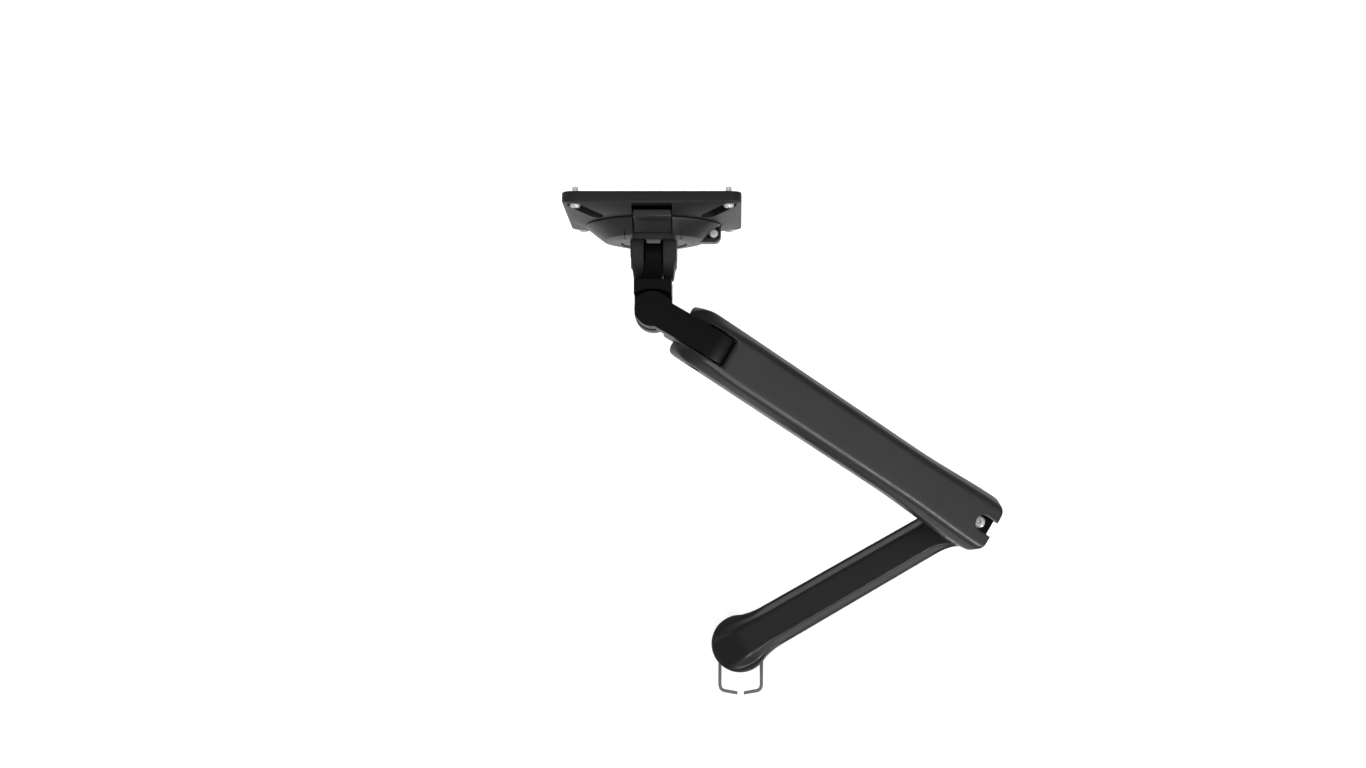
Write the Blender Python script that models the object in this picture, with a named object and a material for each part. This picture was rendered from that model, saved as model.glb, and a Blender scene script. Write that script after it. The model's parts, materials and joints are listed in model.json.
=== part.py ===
"""Single monitor arm on a bolt-through post: lower arm, elbow turret, gas-sprung
parallelogram upper arm, level head link, pan and tilt head and a quick-release
VESA plate. Metres, +Z up. Origin on the post's axis at the desk surface; the
display side is +Y. Lengths below are in millimetres and are scaled by MM."""

import math

import bmesh
import bpy
from mathutils import Matrix, Vector

MM = 0.001
GAP = 0.3                    # clearance between touching pieces

# plan layout
LOWER_ARM_YAW = 30.0         # direction of the lower arm
UPPER_ARM_YAW = 150.0        # direction of the upper arm
UPPER_ARM_PITCH = 36.0       # the upper arm rises towards the head
LOWER_ARM_LENGTH = 185.0     # post axis to elbow axis
UPPER_ARM_LENGTH = 261.0     # pivot to pivot
HEAD_LINK_LENGTH = 41.0      # tip pivot to pan axis
TILT_OFFSET = 37.0           # pan axis to tilt axis
PARALLEL_OFFSET = 20.0       # upper pivots to lower pivots, vertical
TRUNNION_BACK = 11.0         # the tension screw stands behind the rear pivot
TRUNNION_DROP = 12.0         # the gas spring's rear pin, below the rear pivot

# heights
HUB_BOTTOM = 140.0
HUB_SHOULDER = 160.0
ARM_TOP = 170.0
TURRET_BASE = 173.3
REAR_PIVOT_Z = 207.0
TILT_Z = 347.0

# base
POST_R, POST_BORE_R = 17.5, 14.5
BASE_R = 21.0
DESK_THICKNESS = 25.0
STUD_R = 5.0

# lower arm
HUB_R, ELBOW_HUB_R = 21.0, 20.6
BEAM_HALF_A, BEAM_HALF_B = 15.8, 14.5
SPINE_HALF_A, SPINE_HALF_B = 10.5, 9.25

# upper arm
COVER_TOP, COVER_BOTTOM = 18.5, -18.0
COVER_TAIL = -17.0
COVER_NOSE_R = 20.0
TAIL_SLOT_HALF = 5.5
TAIL_SLOT_END = 2.9
NOSE_SLOT_HALF = 10.5
NOSE_SLOT_START = 251.6

# head
LINK_HALF_WIDTH = 9.45
LINK_BARREL_R = 18.0
PAN_HUB_R = 11.9
CHEEK_R, CHEEK_OUTER, CHEEK_INNER = 15.0, 15.4, 6.3
PLATE_SIZE, PLATE_THICKNESS = 117.0, 6.9
PLATE_BACK = 29.4            # tilt axis to the plate's back face
DISC_R = 45.5
VESA_HALF = 50.0

for old in list(bpy.data.objects):
    bpy.data.objects.remove(old, do_unlink=True)

SCENE = bpy.context.scene.collection


# ---------------------------------------------------------------- helpers
def material(name, colour, roughness, metallic=0.0):
    m = bpy.data.materials.new(name)
    m.use_nodes = True
    s = m.node_tree.nodes["Principled BSDF"]
    s.inputs["Base Color"].default_value = (*colour, 1.0)
    s.inputs["Roughness"].default_value = roughness
    s.inputs["Metallic"].default_value = metallic
    return m


BLACK_PAINT = material("black_paint", (0.030, 0.030, 0.031), 0.42)
DEEP_BLACK = material("deep_black_paint", (0.010, 0.010, 0.011), 0.45)
GREY_PAINT = material("grey_paint", (0.060, 0.060, 0.062), 0.38)
GREY_PLASTIC = material("grey_plastic", (0.11, 0.11, 0.11), 0.55)
BLACK_PLASTIC = material("black_plastic", (0.022, 0.022, 0.023), 0.55)
NYLON = material("nylon", (0.55, 0.54, 0.50), 0.5)
RUBBER = material("rubber", (0.02, 0.02, 0.02), 0.9)
STEEL = material("bright_steel", (0.78, 0.78, 0.79), 0.22, 1.0)
DARK_STEEL = material("dark_steel", (0.22, 0.22, 0.23), 0.35, 1.0)


def frame(name, location, yaw=0.0, pitch=0.0):
    """Empty on a joint axis: +x along the member, +z its upward normal."""
    e = bpy.data.objects.new(name, None)
    e.empty_display_size = 0.02
    e.rotation_euler = (0.0, -math.radians(pitch), math.radians(yaw))
    e.location = Vector(location) * MM
    SCENE.objects.link(e)
    return e


def finish(name, bm, mat, parent, helper=False):
    bmesh.ops.remove_doubles(bm, verts=bm.verts, dist=1e-4)
    bmesh.ops.recalc_face_normals(bm, faces=bm.faces)
    bmesh.ops.scale(bm, vec=(MM, MM, MM), verts=bm.verts)
    mesh = bpy.data.meshes.new(name)
    bm.to_mesh(mesh)
    bm.free()
    obj = bpy.data.objects.new(name, mesh)
    SCENE.objects.link(obj)
    obj.parent = parent
    if helper:
        obj.hide_render = True
        obj.display_type = "WIRE"
    else:
        mesh.materials.append(mat)
        mesh.shade_smooth()
        mesh.set_sharp_from_angle(angle=math.radians(32))
    return obj


def boolean(obj, cutter, operation="DIFFERENCE", solver="EXACT"):
    m = obj.modifiers.new(operation.lower(), "BOOLEAN")
    m.operation = operation
    m.solver = solver
    m.object = cutter
    cutter.hide_render = True
    cutter.display_type = "WIRE"
    return obj


def bevel(obj, width, segments=1, angle=40):
    m = obj.modifiers.new("bevel", "BEVEL")
    m.width = width * MM
    m.segments = segments
    m.limit_method = "ANGLE"
    m.angle_limit = math.radians(angle)
    return obj


AXES = {
    "z": Matrix.Identity(3),
    "x": Matrix(((0, 0, 1), (1, 0, 0), (0, 1, 0))),     # local z -> x
    "y": Matrix(((0, 1, 0), (0, 0, 1), (1, 0, 0))),     # local z -> y
}


def lathe(profile, n=32, axis="z", at=(0, 0, 0), bm=None):
    """Turned solid. profile is (radius, height) from one end to the other; a
    first and last radius of 0 gives a solid bar, else it closes as a ring."""
    bm = bm or bmesh.new()
    n = max(10, 2 * round(0.31 * n))
    turn = AXES[axis]
    rings = []
    for r, h in profile:
        if r < 1e-6:
            rings.append([bm.verts.new(turn @ Vector((0, 0, h)) + Vector(at))])
            continue
        rings.append([
            bm.verts.new(
                turn @ Vector((r * math.cos(2 * math.pi * (k + 0.5) / n),
                               r * math.sin(2 * math.pi * (k + 0.5) / n), h))
                + Vector(at))
            for k in range(n)
        ])
    solid = len(rings[0]) == 1
    pairs = list(zip(rings, rings[1:])) + ([] if solid else [(rings[-1], rings[0])])
    for a, b in pairs:
        for k in range(n):
            j = (k + 1) % n
            if len(a) == 1 and len(b) == 1:
                continue
            if len(a) == 1:
                bm.faces.new((a[0], b[k], b[j]))
            elif len(b) == 1:
                bm.faces.new((a[k], a[j], b[0]))
            else:
                bm.faces.new((a[k], a[j], b[j], b[k]))
    return bm


def bar(r, z0, z1, chamfer=0.0):
    """Profile of a solid cylinder."""
    c = chamfer
    if c:
        return [(0, z0), (r - c, z0), (r, z0 + c), (r, z1 - c), (r - c, z1), (0, z1)]
    return [(0, z0), (r, z0), (r, z1), (0, z1)]


def tube(r0, r1, z0, z1):
    """Profile of a ring, r0 inside and r1 outside."""
    return [(r0, z0), (r1, z0), (r1, z1), (r0, z1)]


def box(x0, x1, y0, y1, z0, z1, bm=None):
    bm = bm or bmesh.new()
    v = [bm.verts.new((x, y, z)) for x in (x0, x1) for y in (y0, y1) for z in (z0, z1)]
    for f in ((0, 1, 3, 2), (4, 6, 7, 5), (0, 4, 5, 1), (2, 3, 7, 6), (0, 2, 6, 4), (1, 5, 7, 3)):
        bm.faces.new([v[i] for i in f])
    return bm


def prism(outline, lo, hi, axis="z", at=(0, 0, 0), bm=None):
    """Extruded outline. On axis z the outline is (x, y); on y it is (x, z);
    on x it is (y, z)."""
    bm = bm or bmesh.new()

    def place(p, h):
        if axis == "z":
            q = (p[0], p[1], h)
        elif axis == "y":
            q = (p[0], h, p[1])
        else:
            q = (h, p[0], p[1])
        return Vector(q) + Vector(at)

    a = [bm.verts.new(place(p, lo)) for p in outline]
    b = [bm.verts.new(place(p, hi)) for p in outline]
    bm.faces.new(a)
    bm.faces.new(b)
    for i in range(len(a)):
        j = (i + 1) % len(a)
        bm.faces.new((a[i], a[j], b[j], b[i]))
    return bm


def loft(rings, bm=None):
    bm = bm or bmesh.new()
    rows = [[bm.verts.new(p) for p in ring] for ring in rings]
    n = len(rows[0])
    for a, b in zip(rows, rows[1:]):
        for k in range(n):
            j = (k + 1) % n
            bm.faces.new((a[k], a[j], b[j], b[k]))
    bm.faces.new(rows[0])
    bm.faces.new(rows[-1])
    return bm


def arc(cx, cy, r, a0, a1, n):
    return [(cx + r * math.cos(math.radians(a0 + (a1 - a0) * i / n)),
             cy + r * math.sin(math.radians(a0 + (a1 - a0) * i / n))) for i in range(n + 1)]


def rounded_rect(x0, x1, y0, y1, r, n=3):
    return (arc(x1 - r, y1 - r, r, 0, 90, n) + arc(x0 + r, y1 - r, r, 90, 180, n)
            + arc(x0 + r, y0 + r, r, 180, 270, n) + arc(x1 - r, y0 + r, r, 270, 360, n))


def capsule(x0, y0, x1, y1, r, n=6):
    a = math.degrees(math.atan2(y1 - y0, x1 - x0))
    return arc(x1, y1, r, a - 90, a + 90, n) + arc(x0, y0, r, a + 90, a + 270, n)


def smooth(t):
    t = max(0.0, min(1.0, t))
    return t * t * (3 - 2 * t)


def cutter(name, bm, parent):
    return finish(name, bm, None, parent, helper=True)


# ---------------------------------------------------------------- frames
u1 = Vector((math.cos(math.radians(LOWER_ARM_YAW)), math.sin(math.radians(LOWER_ARM_YAW)), 0))
u2 = Vector((math.cos(math.radians(UPPER_ARM_YAW)), math.sin(math.radians(UPPER_ARM_YAW)), 0))
ELBOW = u1 * LOWER_ARM_LENGTH
pitch = math.radians(UPPER_ARM_PITCH)
REAR = Vector((ELBOW.x, ELBOW.y, REAR_PIVOT_Z))
TIP = REAR + (u2 * math.cos(pitch) + Vector((0, 0, math.sin(pitch)))) * UPPER_ARM_LENGTH
PAN = TIP + u2 * HEAD_LINK_LENGTH
TILT = Vector((PAN.x, PAN.y + TILT_OFFSET, TILT_Z))

F_BASE = frame("frame_base", (0, 0, 0))
F_CLAMP = frame("frame_desk_clamp", (0, 0, -DESK_THICKNESS))
F_LOWER = frame("frame_base_swivel", (0, 0, 0), LOWER_ARM_YAW)
F_ELBOW = frame("frame_elbow_swivel", (ELBOW.x, ELBOW.y, 0), UPPER_ARM_YAW)
F_UPPER = frame("frame_arm_lift", REAR, UPPER_ARM_YAW, UPPER_ARM_PITCH)
F_PARALLEL = frame("frame_lower_link", REAR - Vector((0, 0, PARALLEL_OFFSET)), UPPER_ARM_YAW, UPPER_ARM_PITCH)
F_HEAD = frame("frame_head_link", TIP, UPPER_ARM_YAW)
F_PAN = frame("frame_head_pan", (PAN.x, PAN.y, 0))
F_TILT = frame("frame_head_tilt", TILT)

# gas spring: the rod's eye is on the trunnion, the cylinder's eye on the cover
SPRING_X, SPRING_Z = 205.0, -3.0
TRUNNION = REAR - u2 * TRUNNION_BACK - Vector((0, 0, TRUNNION_DROP))
SPRING_EYE = (REAR + (u2 * math.cos(pitch) + Vector((0, 0, math.sin(pitch)))) * SPRING_X
              + (u2 * -math.sin(pitch) + Vector((0, 0, math.cos(pitch)))) * SPRING_Z)
spring_line = SPRING_EYE - TRUNNION
SPRING_LENGTH = spring_line.length
SPRING_PITCH = math.degrees(math.asin(spring_line.z / SPRING_LENGTH))
F_ROD = frame("frame_gas_rod", TRUNNION, UPPER_ARM_YAW, SPRING_PITCH)
F_CYL = frame("frame_gas_cylinder", SPRING_EYE, UPPER_ARM_YAW, SPRING_PITCH)
SCREW_Z = REAR_PIVOT_Z + 2.0
F_SCREW = frame("frame_tension_screw", (ELBOW.x - u2.x * 11.0, ELBOW.y - u2.y * 11.0, SCREW_Z))


# ---------------------------------------------------------------- base
finish("base_pad", lathe(tube(5.6, 20.4, 0.0, 1.7), 32), RUBBER, F_BASE)
finish("base_flange", lathe([(5.4, 2.0), (BASE_R, 2.0), (BASE_R, 7.6), (BASE_R - 1.4, 9.0), (14.0, 9.0),
                             (14.0, 24.0), (13.0, 25.0), (5.4, 25.0)], 36), BLACK_PAINT, F_BASE)
finish("mount_stud", lathe([(0, -66.0), (STUD_R - 0.8, -66.0), (STUD_R, -65.2), (STUD_R, 24.2),
                            (STUD_R - 0.8, 25.0), (0, 25.0)], 16), DARK_STEEL, F_BASE)
finish("post_tube", lathe(tube(POST_BORE_R, POST_R, 9.3, 134.0), 36), BLACK_PAINT, F_BASE)
finish("post_spindle", lathe([(0, 116.0), (13.2, 116.0), (14.2, 117.0), (14.2, 134.3), (POST_R, 134.3),
                              (POST_R, 138.0), (11.7, 138.0), (11.7, 146.0), (10.9, 146.6), (10.9, 150.4),
                              (11.7, 151.0), (11.7, 154.3), (10.7, 155.3), (0, 155.3)], 32), STEEL, F_BASE)

# under-desk clamp: rubber, steel washer plate and a winged hand nut
finish("clamp_pad", lathe(tube(6.0, 20.4, -1.6, 0.0), 28), RUBBER, F_CLAMP)
finish("clamp_plate", lathe([(5.5, -5.0), (20.0, -5.0), (21.0, -4.0), (21.0, -1.9), (5.5, -1.9)], 28),
       DARK_STEEL, F_CLAMP)
nut = finish("hand_nut", lathe([(5.5, -19.3), (8.0, -19.3), (9.0, -18.3), (9.0, -7.3), (12.0, -5.3),
                                (5.5, -5.3)], 24), BLACK_PLASTIC, F_CLAMP)
wings = cutter("hand_nut_wings", prism(
    [(-20, -17), (-17.5, -18.5), (17.5, -18.5), (20, -17), (20, -12), (17.5, -10.5), (7, -8.5), (-7, -8.5),
     (-17.5, -10.5), (-20, -12)], -3.0, 3.0, "y"), F_CLAMP)
boolean(nut, wings, "UNION")
boolean(nut, cutter("hand_nut_bore", lathe(bar(5.4, -25, 0), 24), F_CLAMP))

# cable clip: open loop on a ring round the post
clip = finish("cable_clip", lathe(tube(POST_R + GAP, 20.2, 113.0, 125.0), 36), GREY_PLASTIC, F_BASE)


def clip_side(s, dx=0.45):
    """One hook of the loop, as an outline of constant wall."""
    wall = 2.4
    outer = [(16.65, -10.0), (16.65, -31.0), (15.6, -34.2), (13.0, -35.9), (2.3, -37.8)]
    inner = [(2.3, -35.4), (12.2, -33.6), (13.7, -32.6), (14.25, -30.6), (14.25, -13.6), (13.2, -11.5)]
    return [(dx + s * x, y) for x, y in outer + inner]


for side in (-1, 1):
    boolean(clip, cutter(f"clip_hook_{'l' if side < 0 else 'r'}", prism(clip_side(side), 113.0, 125.0), F_BASE), "UNION")
boolean(clip, cutter("clip_bore", lathe(bar(POST_R + GAP, 100, 130), 36), F_BASE))


# ---------------------------------------------------------------- lower arm
def arm_width(x):
    """Half width of the lower arm's plan outline: two hub circles joined by a
    beam, with fillets."""
    beam = BEAM_HALF_A + (BEAM_HALF_B - BEAM_HALF_A) * x / LOWER_ARM_LENGTH
    if x <= 0:
        return math.sqrt(max(0.0, HUB_R ** 2 - x * x))
    if x >= LOWER_ARM_LENGTH:
        return math.sqrt(max(0.0, ELBOW_HUB_R ** 2 - (x - LOWER_ARM_LENGTH) ** 2))
    if x < LOWER_ARM_LENGTH / 2:
        r, d = HUB_R, x
    else:
        r, d = ELBOW_HUB_R, LOWER_ARM_LENGTH - x
    knee = 11.0
    hub = math.sqrt(r * r - min(d, knee) ** 2)
    if d <= knee:
        return hub
    return beam + (hub - beam) * (1 - min(1.0, (d - knee) / 15.0)) ** 2


def arm_section(x):
    w = max(arm_width(x), 0.4)
    t = x / LOWER_ARM_LENGTH
    crease = SPINE_HALF_A + (SPINE_HALF_B - SPINE_HALF_A) * t
    hub = 1 - smooth((x - 14) / 16)          # 1 over the post hub, 0 along the beam
    elbow = smooth((x - LOWER_ARM_LENGTH + 30) / 16)
    nose = smooth((-x - 2) / 19)             # the spine's nose runs down to the rim
    top = ARM_TOP - 10.5 * nose ** 1.3
    shoulder = ARM_TOP - 12.5 + 2.0 * hub + 11.5 * elbow
    foot = shoulder + 0.6 * hub
    crease = min(crease + (w - 2.2 - crease) * elbow, w * (0.62 + 0.3 * elbow))
    slope = crease + (w - 1.2 - crease) * (0.94 - 0.74 * hub)
    slope = max(crease + 0.1, min(slope, w - 0.15))
    edge = min(1.2, 0.3 * w)
    foot = min(foot, top - 0.15)
    shoulder = min(shoulder, top - 0.25)
    half = [(0, top), (crease, top), (slope, foot), (w - edge, shoulder), (w, shoulder - edge),
            (w, HUB_BOTTOM + 1.0), (w - edge, HUB_BOTTOM), (0, HUB_BOTTOM)]
    ring = half + [(-y, z) for y, z in half[-2:0:-1]]
    return [(x, y, z) for y, z in ring]


def arm_stations():
    xs = [-HUB_R * math.cos(math.radians(a)) for a in (8, 20, 33, 47, 61, 76)]
    xs += [0, 7, 11, 15, 19, 23, 27, 31, 157, 161, 165, 169, 173, 178, 184.9]
    xs += [LOWER_ARM_LENGTH + ELBOW_HUB_R * math.cos(math.radians(a)) for a in (75, 60, 46, 32, 19, 8)]
    return xs


arm = finish("lower_arm_casting", loft([arm_section(x) for x in arm_stations()]), BLACK_PAINT, F_LOWER)
boolean(arm, cutter("cut_hub_bore", lathe(bar(15.0, 120, 156.8), 32), F_LOWER))
boolean(arm, cutter("cut_elbow_bore", lathe(bar(11.5, 148, 190), 26, at=(LOWER_ARM_LENGTH + 0.07, 0.05, 0)), F_LOWER))
boolean(arm, cutter("cut_nut_pocket", lathe(bar(16.0, 120, 149.0), 30, at=(LOWER_ARM_LENGTH + 0.03, 0.02, 0)), F_LOWER))
boolean(arm, cutter("cut_cable_channel", prism(rounded_rect(32.0, 156.0, -10.5, 10.5, 5.0), 120, 155.0), F_LOWER))
boolean(arm, cutter("cut_set_screw", lathe(bar(2.8, -30, 0), 12, "x", (0, 0, 148.5)), F_LOWER))

finish("hub_bush", lathe([(12.0, 138.3), (POST_R, 138.3), (POST_R, 139.7), (14.7, 139.7), (14.7, 156.4), (12.0, 156.4)], 32),
       NYLON, F_LOWER)
boolean(bpy.data.objects["hub_bush"], cutter("cut_bush_screw", lathe(bar(3.0, -30, 0), 12, "x", (0, 0, 148.5)), F_LOWER))
finish("hub_set_screw",
       lathe([(0, -19.6), (2.1, -19.6), (2.5, -19.2), (2.5, -12.6), (1.6, -11.5), (0, -11.5)], 12, "x", (0, 0, 148.5)),
       DARK_STEEL, F_LOWER)
cover = finish("lower_cable_cover", prism(rounded_rect(46.0, 142.0, -10.1, 10.1, 4.6), 140.2, 142.4), BLACK_PLASTIC, F_LOWER)
boolean(cover, cutter("cover_ribs", prism(rounded_rect(58.0, 130.0, -9.0, 9.0, 4.0), 142.0, 146.0), F_LOWER), "UNION")
boolean(cover, cutter("cut_cover_ribs", prism(rounded_rect(60.0, 128.0, -7.4, 7.4, 3.0), 142.4, 147.0), F_LOWER))

finish("elbow_collar", lathe([(9.4, 170.3), (20.7, 170.3), (20.7, 172.3), (20.0, 173.0), (9.4, 173.0)], 40,
                             at=(LOWER_ARM_LENGTH, 0, 0)), GREY_PAINT, F_LOWER)
finish("elbow_bush", lathe(tube(9.2, 11.1, 149.3, 170.0), 28,
                           at=(LOWER_ARM_LENGTH, 0, 0)), NYLON, F_LOWER)
finish("elbow_end_cap", lathe([(0, 140.4), (15.2, 140.4), (15.7, 140.9), (15.7, 142.2), (0, 142.2)], 28,
                              at=(LOWER_ARM_LENGTH, 0, 0)), BLACK_PLASTIC, F_LOWER)


# ---------------------------------------------------------------- elbow turret
# base disc, two ears and a rear bridge that carries the tension screw
EAR_OUT, EAR_IN = 12.6, 8.6
BRIDGE_TOP = REAR_PIVOT_Z + 1.8
turret = finish("elbow_turret", lathe(bar(19.4, TURRET_BASE, 176.6, 0.8), 36), DEEP_BLACK, F_ELBOW)
ears = [(-14.6, 175.0), (14.6, 175.0), (13.0, 184.0)] + arc(0, REAR_PIVOT_Z, 8.2, 0, 150, 6) + \
       [(-12.0, 205.0), (-16.5, 197.0)]
boolean(turret, cutter("turret_ears", prism(ears, -EAR_OUT, EAR_OUT, "y"), F_ELBOW), "UNION")
boolean(turret, cutter("turret_slot", box(-40, 40, -EAR_IN, EAR_IN, 177.4, 230.0), F_ELBOW))
boolean(turret, cutter("turret_bridge", box(-20.3, -5.4, -11.2, 11.2, REAR_PIVOT_Z - 1.3, BRIDGE_TOP), F_ELBOW), "UNION")
boolean(turret, cutter("turret_screw_hole", lathe(bar(3.4, 172, 220), 16, at=(-11, 0, 0)), F_ELBOW))
boolean(turret, cutter("turret_top_pin_hole", lathe(bar(3.3, -20, 20), 16, "y", (0, 0, REAR_PIVOT_Z)), F_ELBOW))
boolean(turret, cutter("turret_low_pin_hole", lathe(bar(3.3, -20, 20), 16, "y", (0, 0, REAR_PIVOT_Z - PARALLEL_OFFSET)), F_ELBOW))

finish("elbow_shaft", lathe([(0, 143.0), (5.6, 143.0), (6.0, 143.4), (6.0, 150.6), (8.9, 150.6), (8.9, 172.9), (0, 172.9)], 28),
       STEEL, F_ELBOW)
finish("elbow_lock_nut", prism([(10.0 * math.cos(math.radians(60 * k)), 10.0 * math.sin(math.radians(60 * k))) for k in range(6)],
                               143.2, 148.6), DARK_STEEL, F_ELBOW)
boolean(bpy.data.objects["elbow_lock_nut"], cutter("nut_bore", lathe(bar(6.3, 130, 160), 24), F_ELBOW))

# tension screw and its trunnion block
screw = finish("tension_screw", lathe([(0, -23.5), (2.4, -23.5), (3.0, -22.9), (3.0, 0.3), (4.7, 0.3), (4.7, 1.6), (4.1, 2.7),
                                       (2.9, 3.3), (0, 3.3)], 24), STEEL, F_SCREW)
boolean(screw, cutter("cut_hex", prism([(1.7 * math.cos(math.radians(60 * k)), 1.7 * math.sin(math.radians(60 * k))) for k in range(6)],
                                       1.1, 6.0), F_SCREW))
TRUNNION_Z = REAR_PIVOT_Z - TRUNNION_DROP
block = finish("trunnion_block", box(-15.2, -6.8, -4.6, 4.6, TRUNNION_Z - 4.2, TRUNNION_Z + 4.2), DARK_STEEL, F_ELBOW)
boolean(block, cutter("trunnion_stubs", lathe(bar(2.5, -7.6, 7.6), 18, "y", (-11.0, 0, TRUNNION_Z)), F_ELBOW), "UNION")
boolean(block, cutter("trunnion_bore", lathe(bar(3.3, 150, 230), 16, at=(-11, 0, 0)), F_ELBOW))


# ---------------------------------------------------------------- upper arm
def cover_half(x):
    """(half width, crease half width) of the cover's section at x."""
    head = (14.2, 19.0)
    tail = (15.9, 21.4)
    t = smooth((70 - x) / 80)
    crease = head[0] + (tail[0] - head[0]) * t
    width = head[1] + (tail[1] - head[1]) * t
    back = COVER_TAIL + 7.0
    if x < back:
        d = 7.0 - math.sqrt(max(0.0, 49.0 - min(7.0, back - x) ** 2))
        width -= d
        crease -= d * 0.8
    nose = UPPER_ARM_LENGTH + COVER_NOSE_R - 12.0
    if x > nose:
        d = 12.0 - math.sqrt(max(0.0, 144.0 - min(12.0, x - nose) ** 2))
        width -= d * 0.72
        crease -= d * 0.72
    return width, crease


def cover_section(x):
    w, c = cover_half(x)
    top, bottom = COVER_TOP, COVER_BOTTOM
    mid = 0.2
    if x > UPPER_ARM_LENGTH:
        k = math.sqrt(max(0.0, 1 - ((x - UPPER_ARM_LENGTH) / COVER_NOSE_R) ** 2))
        top = mid + (COVER_TOP - mid) * k
        bottom = mid + (COVER_BOTTOM - mid) * k
    if x < COVER_TAIL + 3.0:
        top -= 3.0 - math.sqrt(max(0.0, 9.0 - min(3.0, COVER_TAIL + 3.0 - x) ** 2))
    s = (top - mid) / (COVER_TOP - mid)
    half = [(0, top), (c - 1.4, top), (c + 0.8, top - 1.2 * s), (w - 1.4, mid + 10.0 * s), (w, mid + 4.0 * s), (w, mid - 3.0 * s),
            (w - 0.5, mid + (bottom - mid) * 0.75), (w - 1.0, bottom), (0, bottom)]
    ring = half + [(-y, z) for y, z in half[-2:0:-1]]
    return [(x, y, z) for y, z in ring]


def cover_stations():
    xs = [COVER_TAIL + d for d in (0.0, 0.8, 2.0, 4.0, 7.0)]
    xs += [0, 18, 36, 54, 72, 250, 261]
    xs += [UPPER_ARM_LENGTH + COVER_NOSE_R * math.sin(math.radians(a)) for a in (15, 29, 42, 54, 65, 74, 82)]
    return xs


shell = finish("upper_arm_cover", loft([cover_section(x) for x in cover_stations()]), BLACK_PAINT, F_UPPER)
boolean(shell, cutter("cut_cavity_rear", prism([(16.0, -40), (16.0, 5), (11.5, 15.3), (-11.5, 15.3), (-16.0, 5), (-16.0, -40)],
                                               -60, 244.0, "x"), F_UPPER))
boolean(shell, cutter("cut_cavity_front", box(240.0, 300.0, -16.0, 16.0, -40.0, -9.5), F_UPPER))
boolean(shell, cutter("cut_nose_slot", prism(
    [(NOSE_SLOT_START + 2, -NOSE_SLOT_HALF), (300, -NOSE_SLOT_HALF), (300, NOSE_SLOT_HALF), (NOSE_SLOT_START + 2, NOSE_SLOT_HALF),
     (NOSE_SLOT_START + 0.6, NOSE_SLOT_HALF - 0.6), (NOSE_SLOT_START, NOSE_SLOT_HALF - 2), (NOSE_SLOT_START, 2 - NOSE_SLOT_HALF),
     (NOSE_SLOT_START + 0.6, 0.6 - NOSE_SLOT_HALF)], -40, 40), F_UPPER))
boolean(shell, cutter("cut_nose_under", box(240.0, NOSE_SLOT_START + 1.0, -NOSE_SLOT_HALF, NOSE_SLOT_HALF, -40.0, 0.0), F_UPPER))
boolean(shell, cutter("cut_barrel_room", lathe(bar(LINK_BARREL_R + 0.6, 0.3 - NOSE_SLOT_HALF, NOSE_SLOT_HALF - 0.3), 48, "y",
                                               (UPPER_ARM_LENGTH, 0, 0)), F_UPPER))
tail_slot = [(-60, TAIL_SLOT_HALF)] + [(-60, -TAIL_SLOT_HALF)] + arc(TAIL_SLOT_END - TAIL_SLOT_HALF, 0, TAIL_SLOT_HALF, -90, 90, 8)
boolean(shell, cutter("cut_tail_slot", prism(tail_slot, 8, 40), F_UPPER))
boolean(shell, cutter("cut_rear_pin", lathe(bar(3.3, -30, 30), 16, "y"), F_UPPER))
boolean(shell, cutter("cut_rear_head_a", lathe(bar(5.4, 19.2, 30), 20, "y"), F_UPPER))
boolean(shell, cutter("cut_rear_head_b", lathe(bar(5.4, -30, -19.2), 20, "y"), F_UPPER))
boolean(shell, cutter("cut_front_pin", lathe(bar(3.3, -30, 30), 16, "y", (UPPER_ARM_LENGTH, 0, 0)), F_UPPER))
boolean(shell, cutter("cut_front_head_a", lathe(bar(5.4, 16.4, 30), 20, "y", (UPPER_ARM_LENGTH, 0, 0)), F_UPPER))
boolean(shell, cutter("cut_front_head_b", lathe(bar(5.4, -30, -16.4), 20, "y", (UPPER_ARM_LENGTH, 0, 0)), F_UPPER))

for side, label in ((1, "left"), (-1, "right")):
    # shoulder screws of the two rear pivots, one in each ear
    prof = [(0, 9.0), (2.7, 9.0), (3.0, 9.3), (3.0, 19.5), (5.0, 19.5), (5.0, 20.6), (4.5, 21.1), (0, 21.1)]
    finish(f"rear_pivot_{label}", lathe([(r, side * h) for r, h in prof], 20, "y"), STEEL, F_UPPER)
    spacer = tube(3.4, 5.2, 12.9, 15.6)
    finish(f"rear_spacer_{label}", lathe([(r, side * h) for r, h in spacer], 20, "y"), NYLON, F_UPPER)
    prof = [(0, 9.0), (2.7, 9.0), (3.0, 9.3), (3.0, 15.3), (0, 15.3)]
    finish(f"lower_pivot_{label}", lathe([(r, side * h) for r, h in prof], 20, "y"), STEEL, F_PARALLEL)

finish("front_pivot_pin", lathe([(0, -17.7), (4.5, -17.7), (5.0, -17.2), (5.0, -16.7), (3.0, -16.7), (3.0, 16.7), (5.0, 16.7),
                                 (5.0, 17.2), (4.5, 17.7), (0, 17.7)], 20, "y", (UPPER_ARM_LENGTH, 0, 0)), STEEL, F_UPPER)

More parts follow.
